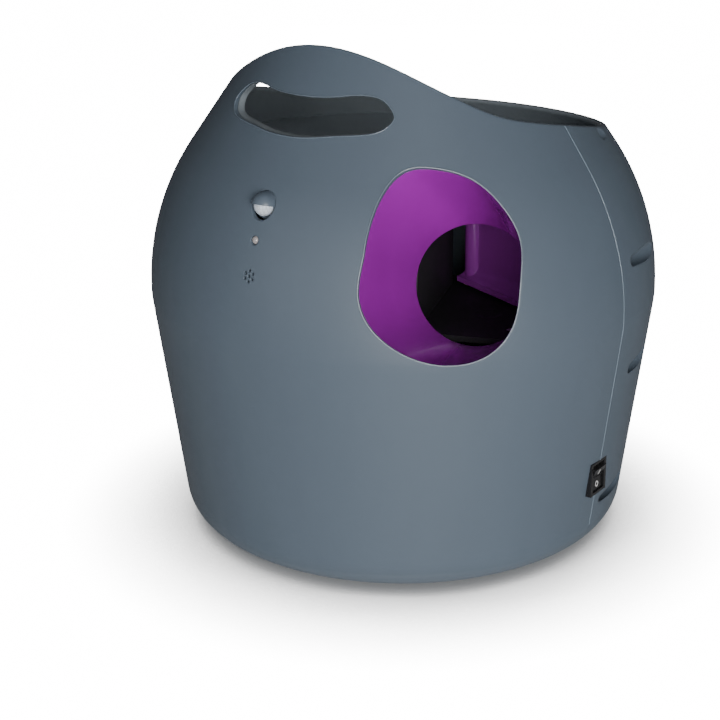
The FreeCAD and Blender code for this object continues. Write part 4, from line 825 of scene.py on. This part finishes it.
@dataclass
class ShellEdges:
    """Polished beads along edges of the front shell: the launch opening, the hand slot and both seams; their
    lighter colours are painted highlight lines.
    """

    node: bpy.types.Object
    profile: BodyProfile = BodyProfile()
    opening: Window = Window((0.060, math.inf), (0.155, 0.274), -0.040)
    slot: Window = Window((-0.063, 0.063), (0.278, 0.309), -0.085)
    lip_radius: float = 0.50 * MM
    slot_radius: float = 0.45 * MM
    seam_radius: float = 0.30 * MM
    seam_y: float = -6.62 * MM
    seam_room: float = 0.03 * MM
    sink: float = 0.16 * MM  # how far the seam beads lie inside the skin
    joined: float = 0.15 * MM  # ends closer than this are one point
    fold: float = math.radians(25.0)  # a sharper edge than this is a rim
    sides: int = 10

    def build(self) -> None:
        """Build the lips of the opening and the hand slot, then the seam beads of both sides."""
        for name, window, radius, finish in (("opening_lip", self.opening, self.lip_radius, LIP_HIGHLIGHT),
                                             ("slot_lip", self.slot, self.slot_radius, SLOT_LIP_HIGHLIGHT)):
            rim = self._edges(lambda a, b, turn, area=window: turn > self.fold and area.holds(a, b))
            finished(name, self._bead(name, rim, radius, 0.0, finish), finish, "main")
        for name, side in (("seam_bead_right", 1), ("seam_bead_left", -1)):
            seam = self._edges(lambda a, b, turn, s=side: s * a.x > 0 and self._on_seam(a, b))
            finished(name, self._bead(name, seam, self.seam_radius, self.sink, SEAM_HIGHLIGHT), SEAM_HIGHLIGHT, "main")

    def _on_seam(self, *points: Vector) -> bool:
        """Whether points lie in the plane where the shells meet.

        Args:
            points: the points.

        Returns:
            True if all of them do.
        """
        return all(abs(point.y - self.seam_y) < self.seam_room for point in points)

    def _edges(self, wanted: Callable[..., bool]) -> list[tuple[Vector, Vector]]:
        """Outer edges of the shell that meet a test.

        Args:
            wanted: takes both ends and the angle between the faces of an edge.

        Returns:
            The ends of each edge.
        """
        form = bmesh.new()
        form.from_mesh(self.node.data)
        bmesh.ops.remove_doubles(form, verts=form.verts, dist=WELD)
        found = []
        for edge in form.edges:
            a, b = (self.node.matrix_world @ v.co for v in edge.verts)
            outside = self.profile.touches(a) and self.profile.touches(b)
            if outside and wanted(a, b, edge.calc_face_angle(math.pi)):
                found.append((a, b))
        form.free()
        return found

    def _bead(self, name: str, edges: list[tuple[Vector, Vector]], radius: float, sink: float,
              finish: Finish) -> Mesh:
        """A round bead along a chain of edges.

        Args:
            name: the mesh's name.
            edges: the ends of each edge.
            radius: the bead's radius.
            sink: how far its middle lies inside the edge.
            finish: the bead's finish.

        Returns:
            The bead's mesh.
        """
        form = bmesh.new()
        for ends in edges:
            moved = []
            for point in ends:
                out = math.hypot(point.x, point.y)
                share = (out - sink) / out
                moved.append(form.verts.new((point.x * share, point.y * share, point.z)))
            form.edges.new(moved)
        bmesh.ops.remove_doubles(form, verts=form.verts, dist=self.joined)
        shape = Modelling(name, {"Radius": radius}, kept(form, name + " line"))
        curve = shape.graph.add("GeometryNodeMeshToCurve", Mesh=shape.size("Source"))
        tube = shape.tube(curve.outputs[0], "Radius", self.sides)
        smooth = shape.graph.add("GeometryNodeSetShadeSmooth", Geometry=tube)
        return shape.mesh(smooth.outputs[0], finish)


@dataclass
class SensorCluster:
    """Dome of the motion sensor and the lamp under it."""

    rings: int = 14

    def build(self) -> None:
        """Build both domes over their stems."""
        for name, node, finish in (("sensor_dome", "sensor_lens", LENS), ("lamp_dome", "status_lamp", LAMP)):
            low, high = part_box(node)
            middle = (low + high) / 2
            radius = (high.x - low.x) / 2
            centre = Vector((middle.x, low.y + radius, middle.z))
            depth = high.y - centre.y
            angles = [math.pi / 2 * k / self.rings for k in range(self.rings + 1)]
            profile = [(radius * math.sin(a), radius * math.cos(a)) for a in angles]
            profile += [(radius, -depth), (0.0, -depth)]
            mesh = lathe(name, profile, centre, Vector((0, -1, 0)))
            finished(name, mesh, finish, "main", node)


@dataclass
class PowerSwitch:
    """Marks on the rocker: a bar for on and a ring for off."""

    pivot: Vector = field(default_factory=lambda: Vector((0.151, -0.008, 0.0582)))
    tilt: float = math.radians(10.0)
    face_middle: float = 3.8 * MM
    face_end: float = 5.6 * MM
    half_height: float = 8.0 * MM
    bar_half: float = 0.45 * MM
    bar_low: float = 2.6 * MM
    bar_high: float = 6.2 * MM
    ring_inner: float = 1.25 * MM
    ring_outer: float = 1.9 * MM
    ring_height: float = 4.4 * MM
    ring_steps: int = 28
    lift: float = 0.12 * MM

    def on_face(self, side: int, across: float, up: float) -> Vector:
        """A point on one half of the rocker's face.

        Args:
            side: 1 for the upper half, -1 for the lower.
            across: distance from the middle along Y.
            up: distance from the pivot along the face's height, always positive.

        Returns:
            The point, in place.
        """
        share = up / self.half_height
        local = Vector((self.face_middle + (self.face_end - self.face_middle) * share, across, side * up))
        return self.pivot + Matrix.Rotation(self.tilt, 3, "Y") @ local

    def build(self) -> None:
        """Build both marks on the rocker."""
        bar = [self.on_face(1, y, z) for y, z in (
            (-self.bar_half, self.bar_low), (self.bar_half, self.bar_low),
            (self.bar_half, self.bar_high), (-self.bar_half, self.bar_high))]
        ring = []
        for k in range(self.ring_steps):
            corners = []
            for radius, turn in ((self.ring_inner, k), (self.ring_outer, k),
                                 (self.ring_outer, k + 1), (self.ring_inner, k + 1)):
                angle = 2 * math.pi * turn / self.ring_steps
                up = self.ring_height + radius * math.sin(angle)
                corners.append(self.on_face(-1, radius * math.cos(angle), up))
            ring.append(corners)
        out = Matrix.Rotation(self.tilt, 3, "Y") @ Vector((self.lift, 0, 0))
        for name, outlines in (("switch_on_mark", [bar]), ("switch_off_mark", ring)):
            finished(name, raised(name, outlines, out), MARK, "rocker")


@dataclass
class KickerSpring:
    """Extension spring from the kicker's lever to the anchor, in two halves."""

    wire: float = 0.7 * MM
    radius: float = 3.8 * MM
    half_turns: float = 15.0
    turn_points: int = 24
    hook: float = 2.7 * MM
    hook_room: float = 11.0 * MM
    hook_start: float = math.radians(200.0)
    hook_sweep: float = math.radians(320.0)
    hook_points: int = 24
    shank_start: float = 1.6  # in radii of the hook
    shank_gap: float = 2.0 * MM
    join_share: float = 0.9  # in radii of the coil

    def build(self) -> None:
        """Build each half of the coil with its hook."""
        low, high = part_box("kicker_spring")
        x, z = (low.x + high.x) / 2, (low.z + high.z) / 2
        start, end = low.y + self.hook_room, high.y - self.hook_room
        middle = (start + end) / 2
        centre = Vector((x, middle, z))
        self._coil("spring_coil_lever", start, middle, Bend("main", "kicker", centre, Vector((x, start, z))))
        self._coil("spring_coil_anchor", middle, end, Bend("main", "anchor", centre, Vector((x, end, z))))
        step = self.hook_sweep / self.hook_points
        angles = [self.hook_start + step * k for k in range(self.hook_points + 1)]
        for name, body, eye_y, side, inner in (("spring_hook_lever", "kicker", low.y + self.hook, 1, start),
                                               ("spring_hook_anchor", "anchor", high.y - self.hook, -1, end)):
            route = [Vector((x + self.hook * math.sin(a), eye_y - side * self.hook * math.cos(a), z))
                     for a in angles]
            route += [Vector((x, eye_y + side * self.hook * self.shank_start, z)),
                      Vector((x, inner - side * self.shank_gap, z)),
                      Vector((x, inner, z + self.radius * self.join_share))]
            finished(name, self._rod(name, route), STEEL, body)

    def _coil(self, name: str, start: float, end: float, course: Bend) -> None:
        """One half of the coil.

        Args:
            name: the piece's name.
            start: where it starts along y.
            end: where it ends along y.
            course: its two bodies and its start and end points.
        """
        shape = Modelling(name, {"Turns": self.half_turns, "Radius": self.radius, "Length": end - start,
                                 "Wire": self.wire})
        line = shape.spiral("Radius", "Radius", self.turn_points)
        coil = shape.mesh(shape.tube(line, "Wire"), STEEL)
        coil.transform(Matrix.Translation((course.start.x, start, course.start.z))
                       @ Matrix.Rotation(-math.pi / 2, 4, "X"))
        finished(name, coil, STEEL, course, "kicker_spring")

    def _rod(self, name: str, route: Sequence[Vector]) -> Mesh:
        """A round wire along a route.

        Args:
            name: the mesh's name.
            route: its points.

        Returns:
            The wire's mesh.
        """
        curve = bpy.data.curves.new(name, "CURVE")
        curve.dimensions = "3D"
        curve.bevel_depth = self.wire
        curve.bevel_resolution = 3
        curve.use_fill_caps = True
        spline = curve.splines.new("POLY")
        spline.points.add(len(route) - 1)
        for point, place in zip(spline.points, route):
            point.co = (*place, 1.0)
        return flattened(linked(name + "_line", curve))


@dataclass
class DialNumbers:
    """Setting numbers on the distance dial."""

    radius: float = 16.2 * MM
    height: float = 4.2 * MM
    lift: float = 0.15 * MM
    settings: int = 9
    above_grip: int = 2
    step: float = math.radians(34.0)
    grip_gap: float = math.radians(10.0)
    face_depth: float = 3.8 * MM

    def build(self) -> None:
        """Build the numbers on the dial's disc."""
        low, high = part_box("distance_dial")
        middle = (low + high) / 2
        face = low.y + self.face_depth
        form = bmesh.new()
        for k in range(self.settings):
            place = k - self.settings // 2
            angle = self.step * place
            if abs(place) > self.above_grip:
                angle += math.copysign(self.grip_gap, place)
            where = Vector((middle.x - self.radius * math.sin(angle), face,
                            middle.z + self.radius * math.cos(angle)))
            form.from_mesh(self._digit(str(k + 1), where, angle))
        finished("dial_numbers", kept(form, "dial_numbers"), MARK, "dial")

    def _digit(self, text: str, where: Vector, angle: float) -> Mesh:
        """One raised number.

        Args:
            text: the number.
            where: its middle, on the dial's face.
            angle: how far it is turned about the dial's axis.

        Returns:
            Its mesh, in place.
        """
        curve = bpy.data.curves.new("digit_" + text, "FONT")
        curve.body = text
        curve.size = self.height
        curve.extrude = self.lift
        curve.align_x = "CENTER"
        curve.align_y = "CENTER"
        curve.resolution_u = 3
        mesh = flattened(linked(curve.name, curve))
        mesh.transform(Matrix.Translation(where) @ Matrix.Rotation(-angle, 4, "Y")
                       @ Matrix.Rotation(math.pi, 4, "Z") @ Matrix.Rotation(math.pi / 2, 4, "X"))
        return mesh


@dataclass
class BatterySprings:
    """Coil contacts that press on the flat ends of the cells."""

    wire: float = 0.45 * MM
    wide: float = 6.0 * MM
    narrow: float = 2.4 * MM
    turns: float = 3.0
    length: float = 4.0 * MM
    plate_width: float = 16.0 * MM
    plate_thickness: float = 0.8 * MM
    turn_points: int = 20

    def build(self) -> None:
        """Build a conical coil on each contact plate that meets a flat end."""
        low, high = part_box("battery_contacts")
        pitch = (high.x - low.x - self.plate_width) / 2
        z = (low.z + high.z) / 2
        shape = Modelling("Contact coils", {"Turns": self.turns, "Wide": self.wide, "Narrow": self.narrow,
                                            "Length": self.length, "Wire": self.wire})
        graph = shape.graph
        tube = shape.tube(shape.spiral("Wide", "Narrow", self.turn_points), "Wire")
        joined = graph.add("GeometryNodeJoinGeometry")
        for column in (-1, 0, 1):
            side = 1 if column == 0 else -1
            y = (high.y - self.plate_thickness) if side > 0 else (low.y + self.plate_thickness)
            coil = graph.add("GeometryNodeTransform", Geometry=tube, Translation=(column * pitch, y, z),
                             Rotation=(side * math.pi / 2, 0.0, 0.0))
            graph.feed(joined.inputs[0], coil.outputs[0])
        finished("battery_coils", shape.mesh(joined.outputs[0], STEEL), STEEL, "main")


@dataclass(frozen=True)
class SoftBox:
    """Round soft light that faces the launcher."""

    name: str
    place: tuple[float, float, float]
    size: float
    power: float
    tint: Colour = WHITE


@dataclass
class Studio:
    """Pale floor, soft lights and the camera."""

    lamps: tuple[SoftBox, ...] = (
        SoftBox("key", (1.57, -1.56, 0.48), 1.3, 54.0, (1.0, 0.985, 0.97)),
        SoftBox("fill", (-0.3, -2.3, 0.7), 2.4, 9.0, (0.96, 0.98, 1.0)),
        SoftBox("top", (0.8, -0.8, 1.9), 1.2, 1.5),
        SoftBox("back", (-1.25, 1.95, -0.22), 0.7, 24.0),
        SoftBox("under", (0.25, -0.30, -1.40), 1.4, 9.0))
    aim: tuple[float, float, float] = (0.0, 0.0, 0.16)
    distance: float = 1.0342
    height: float = 0.4764
    azimuth: float = math.radians(33.77)
    pitch: float = math.radians(19.8)
    lens: float = 80.0
    sensor: float = 36.0
    shift: float = -0.0601
    view_depth: float = 50.0
    floor_reach: float = 8.0
    floor_colour: Colour = (0.55, 0.55, 0.55)
    floor_roughness: float = 0.75
    air: Colour = (0.93, 0.95, 1.0)
    floor_glow: float = 16.0
    ambient: float = 0.08
    # reach and strength of the floor's painted contact shadow
    shadow_reach: float = 0.09
    shadow_depth: float = 4.0

    def build(self) -> None:
        """Build the floor, the surroundings, the lights and the camera."""
        self._floor()
        self._world()
        self._lights()
        data = bpy.data.cameras.new("camera")
        data.lens, data.sensor_width = self.lens, self.sensor
        data.shift_x, data.clip_end = self.shift, self.view_depth
        camera = linked("camera", data)
        camera.location = (self.distance * math.sin(self.azimuth), -self.distance * math.cos(self.azimuth),
                           self.height)
        camera.rotation_euler = (math.pi / 2 - self.pitch, 0.0, self.azimuth)
        bpy.context.scene.camera = camera

    def _floor(self) -> None:
        """Build the plain floor, which is clear from below and to shadows; its glow to the camera fades near
        the launcher by ambient occlusion, a painted contact shadow.
        """
        mesh = bpy.data.meshes.new("floor")
        reach = self.floor_reach
        mesh.from_pydata([(-reach, -reach, 0), (reach, -reach, 0), (reach, reach, 0), (-reach, reach, 0)],
                         [], [(0, 1, 2, 3)])
        material = bpy.data.materials.new("Pale floor")
        material.use_nodes = True
        shader = material.node_tree.nodes["Principled BSDF"]
        graph = Graph(material.node_tree)
        seen = graph.add("ShaderNodeLightPath").outputs["Is Camera Ray"]
        # Painted contact shadow: the floor's glow to the camera fades by ambient occlusion near the launcher.
        near = graph.add("ShaderNodeAmbientOcclusion", {"samples": 8}, Distance=self.shadow_reach)
        painted_shadow_factor = graph.maths("POWER", near.outputs["AO"], self.shadow_depth)
        glow = graph.maths("MULTIPLY", graph.maths("MULTIPLY", seen, self.floor_glow), painted_shadow_factor)
        graph.set(shader, Base_Color=(*self.floor_colour, 1.0), Roughness=self.floor_roughness,
                  Emission_Color=(*WHITE, 1.0), Emission_Strength=glow)
        below = graph.add("ShaderNodeNewGeometry").outputs["Backfacing"]
        shadow = graph.add("ShaderNodeLightPath").outputs["Is Shadow Ray"]
        through = graph.add("ShaderNodeBsdfTransparent")
        either = graph.add("ShaderNodeMixShader", Fac=graph.maths("MAXIMUM", below, shadow))
        graph.feed(either.inputs[1], shader.outputs[0])
        graph.feed(either.inputs[2], through.outputs[0])
        graph.set(material.node_tree.nodes["Material Output"], Surface=either.outputs[0])
        mesh.materials.append(material)
        floor = linked("floor", mesh)

    def _world(self) -> None:
        """Build the surroundings: dim light for the launcher, bright to the camera."""
        world = bpy.data.worlds.new("studio")
        world.use_nodes = True
        graph = Graph(world.node_tree)
        direct = graph.add("ShaderNodeLightPath").outputs["Is Camera Ray"]
        graph.set(world.node_tree.nodes["Background"], Color=(*self.air, 1.0),
                  Strength=graph.span(direct, self.ambient, self.floor_glow))
        bpy.context.scene.world = world

    def _lights(self) -> None:
        """Hang the soft boxes."""
        for box in self.lamps:
            data = bpy.data.lights.new(box.name, "AREA")
            data.shape = "DISK"
            data.size, data.energy, data.color = box.size, box.power, box.tint
            lamp = linked(box.name, data)
            lamp.location = box.place
            course = Vector(self.aim) - Vector(box.place)
            lamp.rotation_euler = course.to_track_quat("-Z", "Y").to_euler()


NODE_FINISHES: tuple[tuple[Finish, tuple[str, ...]], ...] = (
    (SHELL, ("front_shell", "rear_shell", "base_plate", "battery_door", "sensor_hood")),
    (ZINC, ("shell_screws", "frame_screws", "base_screws", "door_hinge_pin", "motor_plate")),
    # the bowl's lightened grey is painted light for its dim inside
    (BUCKET, ("hopper_bowl", "feed_neck")),
    (PURPLE, ("launch_funnel",)),
    # chamber_walls take the near-black as painted shade inside the chamber
    (DEEP_BLACK_AND_SHADE, ("chamber_walls", "launch_deck", "speaker")),
    (PADDLE_LIGHTENED, ("kicker_paddle",)),
    (BLACK, ("deck_posts", "mech_frame", "dial_bracket", "battery_tray", "distance_dial")),
    (STEEL, ("kicker_shaft", "kicker_lever", "lever_pin", "crank_pin", "drive_axle", "idler_axle",
             "motor_shaft", "battery_contacts")),
    (BRASS, ("kicker_bushings", "adjust_screw", "motor_pinion", "motor_spacers", "switch_terminals")),
    (RUBBER, ("stop_bumper", "rubber_feet")),
    (ACETAL, ("spring_anchor", "drive_gear", "crank_roller", "idler_gear", "board_posts")),
    (CAN, ("motor", "sensor_can")),
    (CELL, ("battery_cells",)),
    (GLOSS_BLACK, ("switch_housing", "switch_rocker", "power_inlet", "board_parts")),
    (BOARD, ("main_board",)),
    # the sensor board is darkened as painted shade behind the lens
    (SHADE_DARKENED_BOARD, ("sensor_board",)),
)


def main() -> None:
    """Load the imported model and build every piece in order."""
    logging.basicConfig(level=logging.INFO, format="%(name)s %(message)s")
    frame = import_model()
    Dressing(frame["nodes"], NODE_FINISHES).build()
    for part in (ShellEdges(frame["nodes"]["front_shell"]), SensorCluster(), PowerSwitch(), KickerSpring(),
                 DialNumbers(), BatterySprings(), Studio()):
        part.build()
        LOG.info("%s done", type(part).__name__)


if __name__ == "__main__":
    main()
